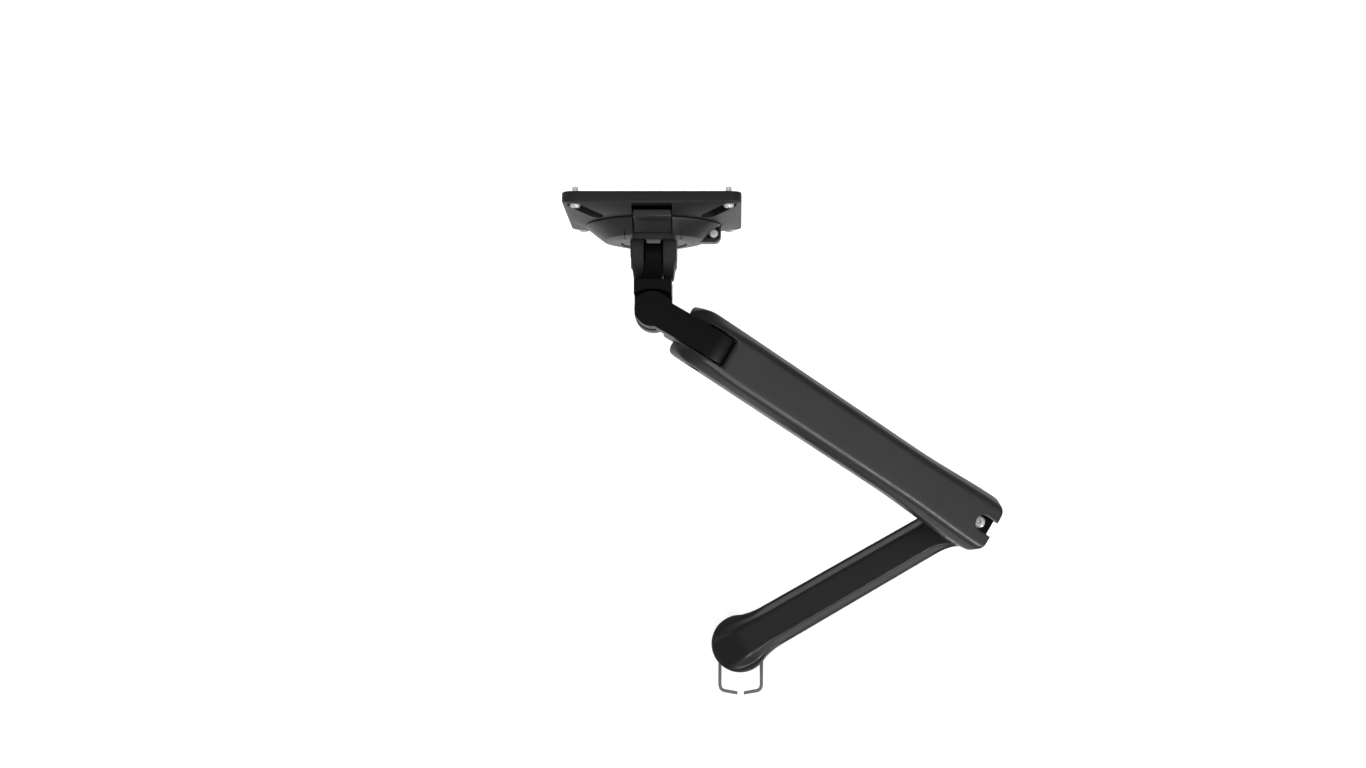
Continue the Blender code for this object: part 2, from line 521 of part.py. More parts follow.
# parallel link: a channel that closes the arm from below
link_side = [(-6.5, 5.0), (-8.0, 1.0), (-8.0, -1.5), (-5.5, -5.0), (266.5, -5.0), (269.0, -1.5), (269.0, 1.0), (267.5, 5.0)]
lower = finish("lower_link", prism(link_side, -15.5, 15.5, "y"), BLACK_PAINT, F_PARALLEL)
boolean(lower, cutter("cut_link_channel", box(26.0, 238.0, -13.3, 13.3, -3.0, 20.0), F_PARALLEL))
boolean(lower, cutter("cut_link_rear", box(-40.0, 27.0, -13.3, 13.3, -20.0, 20.0), F_PARALLEL))
boolean(lower, cutter("cut_link_front", box(237.0, 300.0, -13.3, 13.3, -20.0, 20.0), F_PARALLEL))
boolean(lower, cutter("cut_link_cables", prism(rounded_rect(120.0, 150.0, -7.0, 7.0, 4.0), -20, 0), F_PARALLEL))
for name, x in (("rear", 0.0), ("front", UPPER_ARM_LENGTH)):
    boolean(lower, cutter(f"cut_link_{name}_pin", lathe(bar(3.3, -30, 30), 16, "y", (x, 0, 0)), F_PARALLEL))
finish("link_front_pin", lathe(bar(3.0, -15.3, 15.3, 0.4), 20, "y", (UPPER_ARM_LENGTH, 0, 0)), STEEL, F_PARALLEL)

# gas spring
CYL_R, MOUTH = 8.5, -118.0
finish("gas_cylinder", lathe([(5.0, MOUTH), (CYL_R - 0.6, MOUTH), (CYL_R, MOUTH + 0.6), (CYL_R, -13.0), (CYL_R - 1.0, -12.0),
                              (5.0, -10.5), (5.0, -16.5), (7.2, -16.5), (7.2, MOUTH + 4.0), (5.0, MOUTH + 4.0)], 24, "x"),
       DARK_STEEL, F_CYL)
eye = finish("gas_cylinder_eye", lathe(bar(6.0, -5.0, 5.0, 0.5), 24, "y"), DARK_STEEL, F_CYL)
boolean(eye, cutter("eye_shank", lathe(bar(4.6, -16.8, -2.0), 16, "x"), F_CYL), "UNION")
boolean(eye, cutter("eye_bore", lathe(bar(3.3, -20, 20), 16, "y"), F_CYL))
finish("spring_front_pin", lathe(bar(3.0, -15.7, 15.7, 0.4), 20, "y", (SPRING_X, 0, SPRING_Z)), STEEL, F_UPPER)
ROD_R = 3.5
fork = [(x, z) for x, z in arc(0, 0, 3.4, 90, 270, 6)] + [(12.0, -3.4), (14.0, -2.4), (14.0, 2.4), (12.0, 3.4)]
rod = finish("gas_rod", prism(fork, -7.8, 7.8, "y"), STEEL, F_ROD)
boolean(rod, cutter("cut_fork_slot", box(-10, 7.6, -5.0, 5.0, -6.0, 6.0), F_ROD))
boolean(rod, cutter("cut_fork_holes", lathe(bar(2.8, -10, 10), 18, "y"), F_ROD))
boolean(rod, cutter("rod_bar", lathe(bar(ROD_R, 9.5, 123.0), 20, "x"), F_ROD), "UNION")
finish("gas_piston", lathe(bar(5.4, 123.3, 131.0), 24, "x"),
       NYLON, F_ROD)


# ---------------------------------------------------------------- head link
link_profile = arc(0, 0, LINK_BARREL_R, 90, 246, 14) + arc(0, -PARALLEL_OFFSET, 7.0, 180, 360, 6) + \
    [(8.0, -18.0), (27.0, -18.0), (28.2, -16.8), (28.2, 0.6), (41.0, 0.6), (41.0, 18.0)]
hlink = finish("head_link", prism(link_profile, -LINK_HALF_WIDTH, LINK_HALF_WIDTH, "y"), DEEP_BLACK, F_HEAD)
boolean(hlink, cutter("pan_hub", lathe(bar(PAN_HUB_R, 0.6, 18.0), 36, at=(HEAD_LINK_LENGTH, 0, 0)), F_HEAD), "UNION")
boolean(hlink, cutter("cut_tip_pin", lathe(bar(3.3, -20, 20), 16, "y"), F_HEAD))
boolean(hlink, cutter("cut_low_pin", lathe(bar(3.3, -20, 20), 16, "y", (0, 0, -PARALLEL_OFFSET)), F_HEAD))
boolean(hlink, cutter("cut_pan_bore", lathe(bar(5.3, -5.0, 14.0), 20, at=(HEAD_LINK_LENGTH, 0, 0)), F_HEAD))

# ---------------------------------------------------------------- pan and tilt
HUB_LOW = TIP.z + 0.6            # underside of the link's hub
BLOCK_BOTTOM, BLOCK_TOP = HUB_LOW - 17.6, HUB_LOW + 12.2
pan = finish("pan_block", prism(arc(0, 0, 12.5, 180, 360, 20) + [(12.5, 12.0), (-12.5, 12.0)], BLOCK_BOTTOM, HUB_LOW - 0.7), DEEP_BLACK, F_PAN)
boolean(pan, cutter("pan_body", box(-12.5, 12.5, 9.8, 20.6, BLOCK_BOTTOM, BLOCK_TOP), F_PAN), "UNION")
tongue = [(14.0, BLOCK_BOTTOM + 1.0), (TILT_OFFSET, TILT_Z - 13.6)] + \
    [(TILT_OFFSET + y, TILT_Z + z) for y, z in arc(0, 0, 13.6, -75, 90, 10)] + [(22.0, TILT_Z + 15.4), (14.0, BLOCK_TOP - 4.0)]
boolean(pan, cutter("pan_tongue", prism(tongue, -5.9, 5.9, "x"), F_PAN), "UNION")
boolean(pan, cutter("cut_hub_room", lathe(bar(12.7, HUB_LOW - 0.7, 420), 36), F_PAN))
boolean(pan, cutter("cut_pan_bolt", lathe(bar(4.3, 300, 400), 20), F_PAN))
boolean(pan, cutter("cut_tilt_hole", lathe(bar(5.7, -20, 20), 20, "x", (0, TILT_OFFSET, TILT_Z)), F_PAN), solver="MANIFOLD")
finish("tilt_bush", lathe(tube(4.3, 5.3, -5.9, 5.9), 20, "x", (0, TILT_OFFSET, TILT_Z)), NYLON, F_PAN)
finish("pan_bolt", lathe([(0, BLOCK_BOTTOM - 4.6), (6.2, BLOCK_BOTTOM - 4.6), (6.8, BLOCK_BOTTOM - 4.0), (6.8, BLOCK_BOTTOM - 0.3),
                          (4.0, BLOCK_BOTTOM - 0.3), (4.0, HUB_LOW + 12.8), (0, HUB_LOW + 12.8)], 24), STEEL, F_PAN)
finish("pan_bush", lathe(tube(4.3, 5.0, HUB_LOW + 0.2, HUB_LOW + 12.8), 24), NYLON, F_PAN)

# clevis: two cheeks on a turntable behind the quick-release disc
RIM = 10.1                      # tilt axis to the disc's rear face
cheek = arc(0, 0, CHEEK_R, 90, 270, 12) + [(RIM + 7.0, -CHEEK_R), (RIM + 7.0, CHEEK_R)]
clevis = finish("tilt_clevis", prism(cheek, -CHEEK_OUTER, CHEEK_OUTER, "x"), GREY_PAINT, F_TILT)
boolean(clevis, cutter("clevis_turntable", lathe(bar(21.3, RIM + 0.5, RIM + 12.0), 36, "y"), F_TILT), "UNION")
boolean(clevis, cutter("cut_clevis_gap", box(-CHEEK_INNER, CHEEK_INNER, -30.0, RIM + 4.4, -40.0, 40.0), F_TILT))
boolean(clevis, cutter("cut_tilt_bore", lathe(bar(4.3, -30, 30), 20, "x"), F_TILT))
for s in (1, -1):
    boolean(clevis, cutter(f"cut_head_pocket_{'a' if s > 0 else 'b'}",
                           lathe([(r, s * h) for r, h in bar(8.0, 12.6, 30)], 24, "x"), F_TILT), solver="MANIFOLD")
finish("tilt_bolt", lathe([(0, -13.6), (3.9, -13.6), (3.9, 12.9), (7.2, 12.9), (7.2, 14.6), (6.4, 15.3), (0, 15.3)], 24, "x"),
       DARK_STEEL, F_TILT)
finish("tilt_lock_nut", prism([(6.9 * math.cos(math.radians(60 * k)), 6.9 * math.sin(math.radians(60 * k))) for k in range(6)],
                              -15.3, -12.9, "x"), DARK_STEEL, F_TILT)
boolean(bpy.data.objects["tilt_lock_nut"], cutter("tilt_nut_bore", lathe(bar(4.2, -30, 0), 20, "x"), F_TILT))

# quick-release disc: domed back, straight side wall, pocket for the turntable
Y0 = PLATE_BACK - 7.4
disc = finish("quick_release_disc", lathe([(15.9 + 6.0, RIM), (25.0, RIM), (33.6, RIM + 2.0), (39.5, RIM + 5.6), (43.6, RIM + 10.0),
                                           (DISC_R, RIM + 11.2), (DISC_R, Y0), (21.9, Y0)], 64, "y"), GREY_PAINT, F_TILT)
boolean(disc, cutter("cut_latch_room", box(-13.2, 13.2, RIM - 2.0, RIM + 16.5, 25.2, 60.0), F_TILT))
lug = [(26.0, Y0), (26.0, RIM + 1.0), (41.0, RIM + 1.0), (43.0, RIM + 1.8), (44.4, RIM + 3.6), (44.8, RIM + 5.6),
       (44.8, Y0)]
boolean(disc, cutter("lock_lug", prism(lug, -7.0, 4.0), F_TILT), "UNION")
LOCK = (39.9, RIM + 6.6, 0.0)
boolean(disc, cutter("cut_lock_recess", lathe(bar(4.4, 4.0, 16.0), 24, at=LOCK), F_TILT))
boolean(disc, cutter("cut_lock_hole", lathe(bar(2.3, -4.4, 10.0), 16, at=LOCK), F_TILT))
finish("tilt_stop_plate", box(-5.2, 5.2, RIM - 1.4, RIM + 4.1, 12.5, 15.0), GREY_PLASTIC, F_TILT)

finish("turntable_retainer", lathe([(0, RIM + 12.4), (24.0, RIM + 12.4), (24.0, RIM + 15.6), (0, RIM + 15.6)], 32, "y"),
       DARK_STEEL, F_TILT)
finish("lock_screw", lathe([(0, -3.6), (1.8, -3.6), (1.8, 4.4), (2.9, 4.4), (2.9, 5.6), (2.3, 6.5), (0, 6.5)], 20, at=LOCK),
       STEEL, F_TILT)

# latch: a finger paddle that rocks on a cross pin
F_LATCH = frame("frame_latch", TILT + Vector((0, RIM + 14.0, 36.5)))
paddle = [(-10.2, -8.0), (-9.2, -9.2), (-5.4, -8.6), (-1.8, -3.0), (1.9, -2.4), (2.2, 3.0), (2.0, 10.6), (1.2, 11.4), (-1.8, 11.4),
          (-2.7, 10.6), (-3.3, 7.6), (-4.6, 3.2), (-6.8, -1.4)]
finish("latch_paddle", prism(paddle, -12.6, 12.6, "x"), GREY_PLASTIC, F_LATCH)
boolean(bpy.data.objects["latch_paddle"], cutter("cut_latch_pin", lathe(bar(1.4, -20, 20), 12, "x"), F_LATCH))
boolean(bpy.data.objects["latch_paddle"], cutter("cut_latch_spring", box(-3.4, 3.4, -2.6, 4.0, -4.0, 2.5), F_LATCH))
finish("latch_pin", lathe(bar(1.0, -12.9, 12.9), 12, "x"), STEEL, F_LATCH)
finish("latch_spring", lathe(tube(1.3, 2.0, -2.8, 2.8), 16, "x"), STEEL, F_LATCH)

# VESA plate: flat square rim that swells to a round seat behind the disc,
# with four counterbored diagonal slots
def plate_ring(blend, y, n=64):
    """Square outline (blend 0) that turns into the disc's circle (blend 1)."""
    ring = []
    half, corner = PLATE_SIZE / 2, 6.0
    for k in range(n):
        c, s = math.cos(2 * math.pi * (k + 0.5) / n), math.sin(2 * math.pi * (k + 0.5) / n)
        x, z = half * c / max(abs(c), abs(s)), half * s / max(abs(c), abs(s))
        dx, dz = abs(x) - (half - corner), abs(z) - (half - corner)
        if dx > 0 and dz > 0:
            d = math.hypot(dx, dz)
            x = math.copysign(half - corner + corner * dx / d, x)
            z = math.copysign(half - corner + corner * dz / d, z)
        ring.append((x + (45.2 * c - x) * blend, y, z + (45.2 * s - z) * blend))
    return ring


bm = loft([plate_ring(0, PLATE_BACK + PLATE_THICKNESS), plate_ring(0, PLATE_BACK), plate_ring(0.5, PLATE_BACK - 3.9),
           plate_ring(1, PLATE_BACK - 7.1)])
bmesh.ops.triangulate(bm, faces=[f for f in bm.faces if len(f.verts) == 4])
plate = finish("vesa_plate", bm, BLACK_PAINT, F_TILT)
boolean(plate, cutter("cut_plate_pocket", lathe(bar(24.6, PLATE_BACK - 12, PLATE_BACK - 3.3), 36, "y"), F_TILT))
boolean(plate, cutter("cut_plate_latch_room", box(-13.2, 13.2, PLATE_BACK - 12, PLATE_BACK - 0.8, 22.0, 57.9), F_TILT))
for sx in (1, -1):
    for sz in (1, -1):
        key = ("r" if sx > 0 else "l") + ("t" if sz > 0 else "b")
        boolean(plate, cutter(f"cut_seat_{key}", prism(capsule(sx * 37.5, sz * 37.5, sx * 50.0, sz * 50.0, 5.4, 7),
                                                       PLATE_BACK - 15, PLATE_BACK + 0.1, "y"), F_TILT))
        boolean(plate, cutter(f"cut_slot_{key}", prism(capsule(sx * 36.9, sz * 36.9, sx * 50.3, sz * 50.3, 3.0, 4),
                                                       PLATE_BACK - 5, PLATE_BACK + 20, "y"), F_TILT))
        head = [(0, PLATE_BACK - 3.0), (2.2, PLATE_BACK - 3.0), (3.4, PLATE_BACK - 2.0), (3.7, PLATE_BACK - 0.4),
                (2.0, PLATE_BACK - 0.4), (2.0, PLATE_BACK + PLATE_THICKNESS + 4.0), (0, PLATE_BACK + PLATE_THICKNESS + 4.0)]
        finish(f"vesa_screw_{key}", lathe(head, 14, "y", (sx * VESA_HALF, 0, sz * VESA_HALF)), STEEL, F_TILT)
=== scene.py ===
"""Looks of the monitor arm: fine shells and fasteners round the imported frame,
procedural finishes, a pale floor and soft studio light. Lengths in the piece
code are millimetres in each member's own frame and are scaled by MM."""
import json
import math

import bmesh
import bpy
from mathutils import Euler, Matrix, Vector


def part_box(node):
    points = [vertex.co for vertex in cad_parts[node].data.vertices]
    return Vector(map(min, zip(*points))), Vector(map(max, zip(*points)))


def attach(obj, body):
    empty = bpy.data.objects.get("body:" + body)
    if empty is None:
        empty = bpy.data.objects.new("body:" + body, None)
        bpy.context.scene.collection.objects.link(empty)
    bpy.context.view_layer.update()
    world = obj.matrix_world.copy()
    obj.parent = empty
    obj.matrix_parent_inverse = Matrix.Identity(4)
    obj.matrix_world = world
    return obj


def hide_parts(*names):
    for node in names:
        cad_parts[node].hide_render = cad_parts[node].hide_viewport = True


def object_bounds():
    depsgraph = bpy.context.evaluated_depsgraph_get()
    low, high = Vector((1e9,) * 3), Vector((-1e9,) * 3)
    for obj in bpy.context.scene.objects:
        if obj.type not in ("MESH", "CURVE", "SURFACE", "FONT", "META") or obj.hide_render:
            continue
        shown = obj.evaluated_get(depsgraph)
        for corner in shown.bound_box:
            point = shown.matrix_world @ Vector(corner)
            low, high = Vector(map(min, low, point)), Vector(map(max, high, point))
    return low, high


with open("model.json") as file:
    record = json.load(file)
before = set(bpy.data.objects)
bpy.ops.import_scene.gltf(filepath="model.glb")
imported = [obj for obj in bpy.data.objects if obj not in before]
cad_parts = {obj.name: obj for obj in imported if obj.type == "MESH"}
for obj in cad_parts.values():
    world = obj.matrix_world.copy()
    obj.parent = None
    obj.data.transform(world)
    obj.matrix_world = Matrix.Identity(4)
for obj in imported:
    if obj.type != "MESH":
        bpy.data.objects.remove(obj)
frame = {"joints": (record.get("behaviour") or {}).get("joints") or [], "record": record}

MM = 0.001
CAD_LO, CAD_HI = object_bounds()
BODY_OF = {n: b for b, ns in frame["record"]["behaviour"]["bodies"].items() for n in ns}
JOINT = {j["name"]: j for j in frame["joints"]}
SCENE = bpy.context.scene.collection

# ---------------------------------------------------------------- dimensions
LOWER_ARM_LENGTH, UPPER_ARM_LENGTH, HEAD_LINK_LENGTH = 185.0, 261.0, 41.0
UPPER_ARM_PITCH, PARALLEL_OFFSET, TILT_OFFSET = 36.0, 20.0, 37.0
HUB_BOTTOM, ARM_TOP, TURRET_BASE, REAR_PIVOT_Z = 140.0, 170.0, 173.3, 207.0
POST_R, POST_BORE_R, BASE_R, STUD_R, GAP = 17.5, 14.5, 21.0, 5.0, 0.3
HUB_R, ELBOW_HUB_R = 21.0, 20.6
BEAM_HALF_A, BEAM_HALF_B = 15.8, 14.5
SPINE_HALF_A, SPINE_HALF_B = 10.5, 9.25
COVER_TOP, COVER_BOTTOM, COVER_TAIL, COVER_NOSE_R = 18.5, -18.0, -17.0, 20.0
TAIL_SLOT_HALF, TAIL_SLOT_END, NOSE_SLOT_HALF, NOSE_SLOT_START = 5.5, 2.9, 10.5, 251.6
LINK_HALF_WIDTH, LINK_BARREL_R, PAN_HUB_R = 9.45, 18.0, 11.9
CHEEK_R, CHEEK_OUTER, CHEEK_INNER = 15.0, 15.4, 6.3
PLATE_SIZE, PLATE_THICKNESS, PLATE_BACK, DISC_R, VESA_HALF = 117.0, 6.9, 29.4, 45.5, 50.0


def at_joint(name):
    return Vector(JOINT[name]["pos_m"])


def frame_at(metres, yaw=0.0, pitch=0.0):
    turn = Euler((0.0, -math.radians(pitch), math.radians(yaw))).to_matrix().to_4x4()
    return Matrix.Translation(metres) @ turn


ELBOW = at_joint("elbow_swivel")
REAR = at_joint("arm_lift")
LOW_REAR = at_joint("lower_link_swing")
TIP = at_joint("head_level")
PAN = at_joint("head_pan")
TILT = at_joint("head_tilt")
F_BASE = frame_at(Vector((0, 0, 0)))
F_CLAMP = frame_at(Vector((0, 0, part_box("clamp_pad")[1].z)))
F_LOWER = frame_at(Vector((0, 0, 0)), 30.0)
F_ELBOW = frame_at(Vector((ELBOW.x, ELBOW.y, 0)), 150.0)
F_UPPER = frame_at(REAR, 150.0, UPPER_ARM_PITCH)
F_PARALLEL = frame_at(LOW_REAR, 150.0, UPPER_ARM_PITCH)
F_HEAD = frame_at(TIP, 150.0)
F_PAN = frame_at(Vector((PAN.x, PAN.y, 0)))
F_TILT = frame_at(TILT)
F_LATCH = frame_at(at_joint("latch_press"))
ROD = at_joint("gas_rod_swing")
EYE = at_joint("gas_cylinder_swing")
line = EYE - ROD
SPRING_PITCH = math.degrees(math.asin(line.z / line.length))
F_ROD = frame_at(ROD, 150.0, SPRING_PITCH)
F_CYL = frame_at(EYE, 150.0, SPRING_PITCH)
F_SCREW = frame_at(at_joint("tension_screw_turn"))

# ---------------------------------------------------------------- outlines


def arc(cx, cy, r, a0, a1, n):
    return [(cx + r * math.cos(math.radians(a0 + (a1 - a0) * i / n)),
             cy + r * math.sin(math.radians(a0 + (a1 - a0) * i / n))) for i in range(n + 1)]


def rounded_rect(x0, x1, y0, y1, r, n=10):
    return (arc(x1 - r, y1 - r, r, 0, 90, n) + arc(x0 + r, y1 - r, r, 90, 180, n)
            + arc(x0 + r, y0 + r, r, 180, 270, n) + arc(x1 - r, y0 + r, r, 270, 360, n))


def capsule(x0, y0, x1, y1, r, n=20):
    a = math.degrees(math.atan2(y1 - y0, x1 - x0))
    return arc(x1, y1, r, a - 90, a + 90, n) + arc(x0, y0, r, a + 90, a + 270, n)


def smooth(t):
    t = max(0.0, min(1.0, t))
    return t * t * (3 - 2 * t)


def fillet(points, r, n=4, closed=True, least=14.0, keep=()):
    """Rounds the corners of a polyline that turn by more than `least` degrees.
    r is one radius or a list with one for each point."""
    out = []
    count = len(points)
    for i, p in enumerate(points):
        radius = r[i] if isinstance(r, (list, tuple)) else r
        if not closed and i in (0, count - 1):
            out.append(p)
            continue
        a, b = Vector(points[i - 1]), Vector(points[(i + 1) % count])
        q = Vector(p)
        u, v = a - q, b - q
        if u.length < 1e-9 or v.length < 1e-9 or radius <= 0 or i in keep:
            out.append(p)
            continue
        turn = 180 - math.degrees(u.angle(v))
        if turn < least:
            out.append(p)
            continue
        reach = min(radius * math.tan(math.radians(turn / 2)), 0.46 * u.length, 0.46 * v.length)
        s, e = q + u.normalized() * reach, q + v.normalized() * reach
        for k in range(n + 1):
            t = k / n
            w = s * (1 - t) ** 2 + q * 2 * t * (1 - t) + e * t * t
            out.append((w.x, w.y))
    return out


def inset(points, d):
    """Moves a closed outline inwards by d (outwards if negative). The point
    count is kept: edges that the move would turn round close up to nothing."""
    count = len(points)
    pts = [Vector(p) for p in points]
    area = sum(pts[i - 1].cross(pts[i]) for i in range(count))
    sign = 1.0 if area > 0 else -1.0
    ways = [(pts[(i + 1) % count] - pts[i]).normalized() for i in range(count)]
    lines = [pts[i] + Vector((-ways[i].y, ways[i].x)) * sign * d for i in range(count)]

    def meet(a, b):
        cross = ways[a].cross(ways[b])
        if abs(cross) < 1e-3:
            q = pts[b] if (a + 1) % count == b else (pts[(a + 1) % count] + pts[b]) / 2
            n = ways[a] + ways[b]
            n = n.normalized() if n.length > 1e-9 else ways[a]
            return q + Vector((-n.y, n.x)) * sign * d
        t = (lines[b] - lines[a]).cross(ways[b]) / cross
        return lines[a] + ways[a] * t

    live = list(range(count))
    while len(live) > 3:
        worst, where = -1e-7, None
        for k, e in enumerate(live):
            start, end = meet(live[k - 1], e), meet(e, live[(k + 1) % len(live)])
            size = (pts[(e + 1) % count] - pts[e]).length
            turned = (end - start).dot(ways[e]) / max(size, 1e-6)
            if turned < worst:
                worst, where = turned, k
        if where is None:
            break
        live.pop(where)
    out = []
    for i in range(count):
        before = max((e for e in live if e < i), default=live[-1])
        after = min((e for e in live if e >= i), default=live[0])
        q = meet(before, after)
        out.append((q.x, q.y))
    return out


def clean(points, gap=1e-4):
    out = []
    for p in points:
        if not out or (Vector(p) - Vector(out[-1])).length > gap:
            out.append(p)
    while len(out) > 2 and (Vector(out[0]) - Vector(out[-1])).length <= gap:
        out.pop()
    return out


# ---------------------------------------------------------------- solids
AXES = {
    "z": Matrix.Identity(3),
    "x": Matrix(((0, 0, 1), (1, 0, 0), (0, 1, 0))),
    "y": Matrix(((0, 1, 0), (0, 0, 1), (1, 0, 0))),
}


def lathe(profile, n=72, axis="z", at=(0, 0, 0), soft=0.35):
    """Turned solid with softened corners. A first and last radius of 0 gives a
    bar, else the profile closes as a ring."""
    bm = bmesh.new()
    solid = profile[0][0] < 1e-6
    if soft:
        profile = fillet(profile, soft, 3, closed=not solid, least=20.0)
    turn = AXES[axis]
    rings = []
    for r, h in profile:
        if r < 1e-6:
            rings.append([bm.verts.new(turn @ Vector((0, 0, h)) + Vector(at))])
        else:
            rings.append([bm.verts.new(turn @ Vector((r * math.cos(2 * math.pi * (k + 0.5) / n),
                                                      r * math.sin(2 * math.pi * (k + 0.5) / n), h)) + Vector(at))
                          for k in range(n)])
    pairs = list(zip(rings, rings[1:])) + ([] if solid else [(rings[-1], rings[0])])
    for a, b in pairs:
        for k in range(n):
            j = (k + 1) % n
            if len(a) == 1 and len(b) == 1:
                continue
            if len(a) == 1:
                bm.faces.new((a[0], b[k], b[j]))
            elif len(b) == 1:
                bm.faces.new((a[k], a[j], b[0]))
            else:
                bm.faces.new((a[k], a[j], b[j], b[k]))
    return bm


def bar(r, z0, z1):
    return [(0, z0), (r, z0), (r, z1), (0, z1)]


def tube(r0, r1, z0, z1):
    return [(r0, z0), (r1, z0), (r1, z1), (r0, z1)]


def box(x0, x1, y0, y1, z0, z1, soft=0.0):
    if soft:
        return prism([(x0, y0), (x1, y0), (x1, y1), (x0, y1)], z0, z1, corner=soft, soft=soft)
    bm = bmesh.new()
    v = [bm.verts.new((x, y, z)) for x in (x0, x1) for y in (y0, y1) for z in (z0, z1)]
    for f in ((0, 1, 3, 2), (4, 6, 7, 5), (0, 4, 5, 1), (2, 3, 7, 6), (0, 2, 6, 4), (1, 5, 7, 3)):
        bm.faces.new([v[i] for i in f])
    return bm


def prism(outline, lo, hi, axis="z", at=(0, 0, 0), soft=0.0, corner=0.0, seg=3, ends=(True, True)):
    """Extruded outline whose end edges are rolled over by `soft`."""
    def place(p, h):
        if axis == "z":
            q = (p[0], p[1], h)
        elif axis == "y":
            q = (p[0], h, p[1])
        else:
            q = (h, p[0], p[1])
        return Vector(q) + Vector(at)

    outline = clean(outline)
    if corner:
        outline = clean(fillet(outline, corner, 5))
    levels = [(0.0, lo), (0.0, hi)]
    if soft:
        roll = [(soft * (1 - math.sin(math.pi / 2 * k / seg)), soft * (1 - math.cos(math.pi / 2 * k / seg)))
                for k in range(seg + 1)]
        low = [(d, lo + h) for d, h in roll] if ends[0] else [(0.0, lo)]
        high = [(d, hi - h) for d, h in reversed(roll)] if ends[1] else [(0.0, hi)]
        levels = low + high
    bm = bmesh.new()
    rows = [[bm.verts.new(place(p, h)) for p in (inset(outline, d) if d else outline)] for d, h in levels]
    bm.faces.new(rows[0])
    bm.faces.new(rows[-1])
    for a, b in zip(rows, rows[1:]):
        for i in range(len(a)):
            j = (i + 1) % len(a)
            bm.faces.new((a[i], a[j], b[j], b[i]))
    return bm


def mouth(outline, lo, top, axis="z", flare=0.45, beyond=6.0, down=False):
    """Cutter for a hole or slot whose edge at height `top` is broken by a small
    chamfer; it runs on past the face. With down, the mouth is at its low end."""
    s = -1 if down else 1
    levels = [(0.0, lo), (0.0, top - s * flare), (-flare * 0.35, top - s * flare * 0.35), (-flare, top + s * 0.02),
              (-flare, top + s * beyond)]
    bm = bmesh.new()

    def place(p, h):
        return {"z": (p[0], p[1], h), "y": (p[0], h, p[1]), "x": (h, p[0], p[1])}[axis]

    outline = clean(outline)
    rows = [[bm.verts.new(place(p, h)) for p in (inset(outline, d) if d else outline)] for d, h in levels]
    bm.faces.new(rows[0])
    bm.faces.new(rows[-1])
    for a, b in zip(rows, rows[1:]):
        for i in range(len(a)):
            j = (i + 1) % len(a)
            bm.faces.new((a[i], a[j], b[j], b[i]))
    return bm


def loft(rings):
    bm = bmesh.new()
    rows = [[bm.verts.new(p) for p in ring] for ring in rings]
    n = len(rows[0])
    for a, b in zip(rows, rows[1:]):
        for k in range(n):
            j = (k + 1) % n
            bm.faces.new((a[k], a[j], b[j], b[k]))
    bm.faces.new(rows[0])
    bm.faces.new(rows[-1])
    return bm


def hexagon(r, turn=0.0):
    return [(r * math.cos(math.radians(60 * k + turn)), r * math.sin(math.radians(60 * k + turn))) for k in range(6)]


def to_object(name, bm, scale=True):
    bmesh.ops.remove_doubles(bm, verts=bm.verts, dist=2e-4)
    bmesh.ops.recalc_face_normals(bm, faces=bm.faces)
    if scale:
        bmesh.ops.scale(bm, vec=(MM, MM, MM), verts=bm.verts)
    mesh = bpy.data.meshes.new(name)
    bm.to_mesh(mesh)
    bm.free()
    obj = bpy.data.objects.new(name, mesh)
    SCENE.objects.link(obj)
    return obj


def evaluate(obj):
    bpy.context.view_layer.update()
    graph = bpy.context.evaluated_depsgraph_get()
    mesh = bpy.data.meshes.new_from_object(obj.evaluated_get(graph), preserve_all_data_layers=True, depsgraph=graph)
    old = obj.data
    obj.modifiers.clear()
    obj.data = mesh
    bpy.data.meshes.remove(old)


def shape(name, bm, *steps, soft=0.0, soft_angle=38.0, seg=2):
    """A solid and the steps that cut from it ("-") or join to it ("+")."""
    obj = to_object(name, bm)
    for op, other in steps:
        tool = to_object(name + "_tool", other)
        m = obj.modifiers.new("step", "BOOLEAN")
        m.operation = {"-": "DIFFERENCE", "+": "UNION", "*": "INTERSECT"}[op]
        m.solver = "EXACT"
        m.object = tool
        evaluate(obj)
        data = tool.data
        bpy.data.objects.remove(tool)
        bpy.data.meshes.remove(data)
    if soft:
        w = obj.modifiers.new("weld", "WELD")
        w.merge_threshold = 0.00002
        m = obj.modifiers.new("soft", "BEVEL")
        m.width = soft * MM
        m.segments = seg
        m.limit_method = "ANGLE"
        m.angle_limit = math.radians(soft_angle)
        m.use_clamp_overlap = True
        m.miter_outer = "MITER_ARC"
        evaluate(obj)
    return obj


def put(obj, where, mat, *nodes, angle=40.0):
    """Places a finished piece, gives it its finish, and lets it stand for CAD nodes."""
    node = nodes[0] if nodes else obj.name
    obj.data.transform(where)
    obj.data.materials.clear()
    obj.data.materials.append(mat)
    obj.data.shade_smooth()
    obj.data.set_sharp_from_angle(angle=math.radians(angle))
    obj.name = node + "_fine"
    obj.data.name = obj.name
    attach(obj, BODY_OF[node])
    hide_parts(*(nodes or (node,)))
    return obj


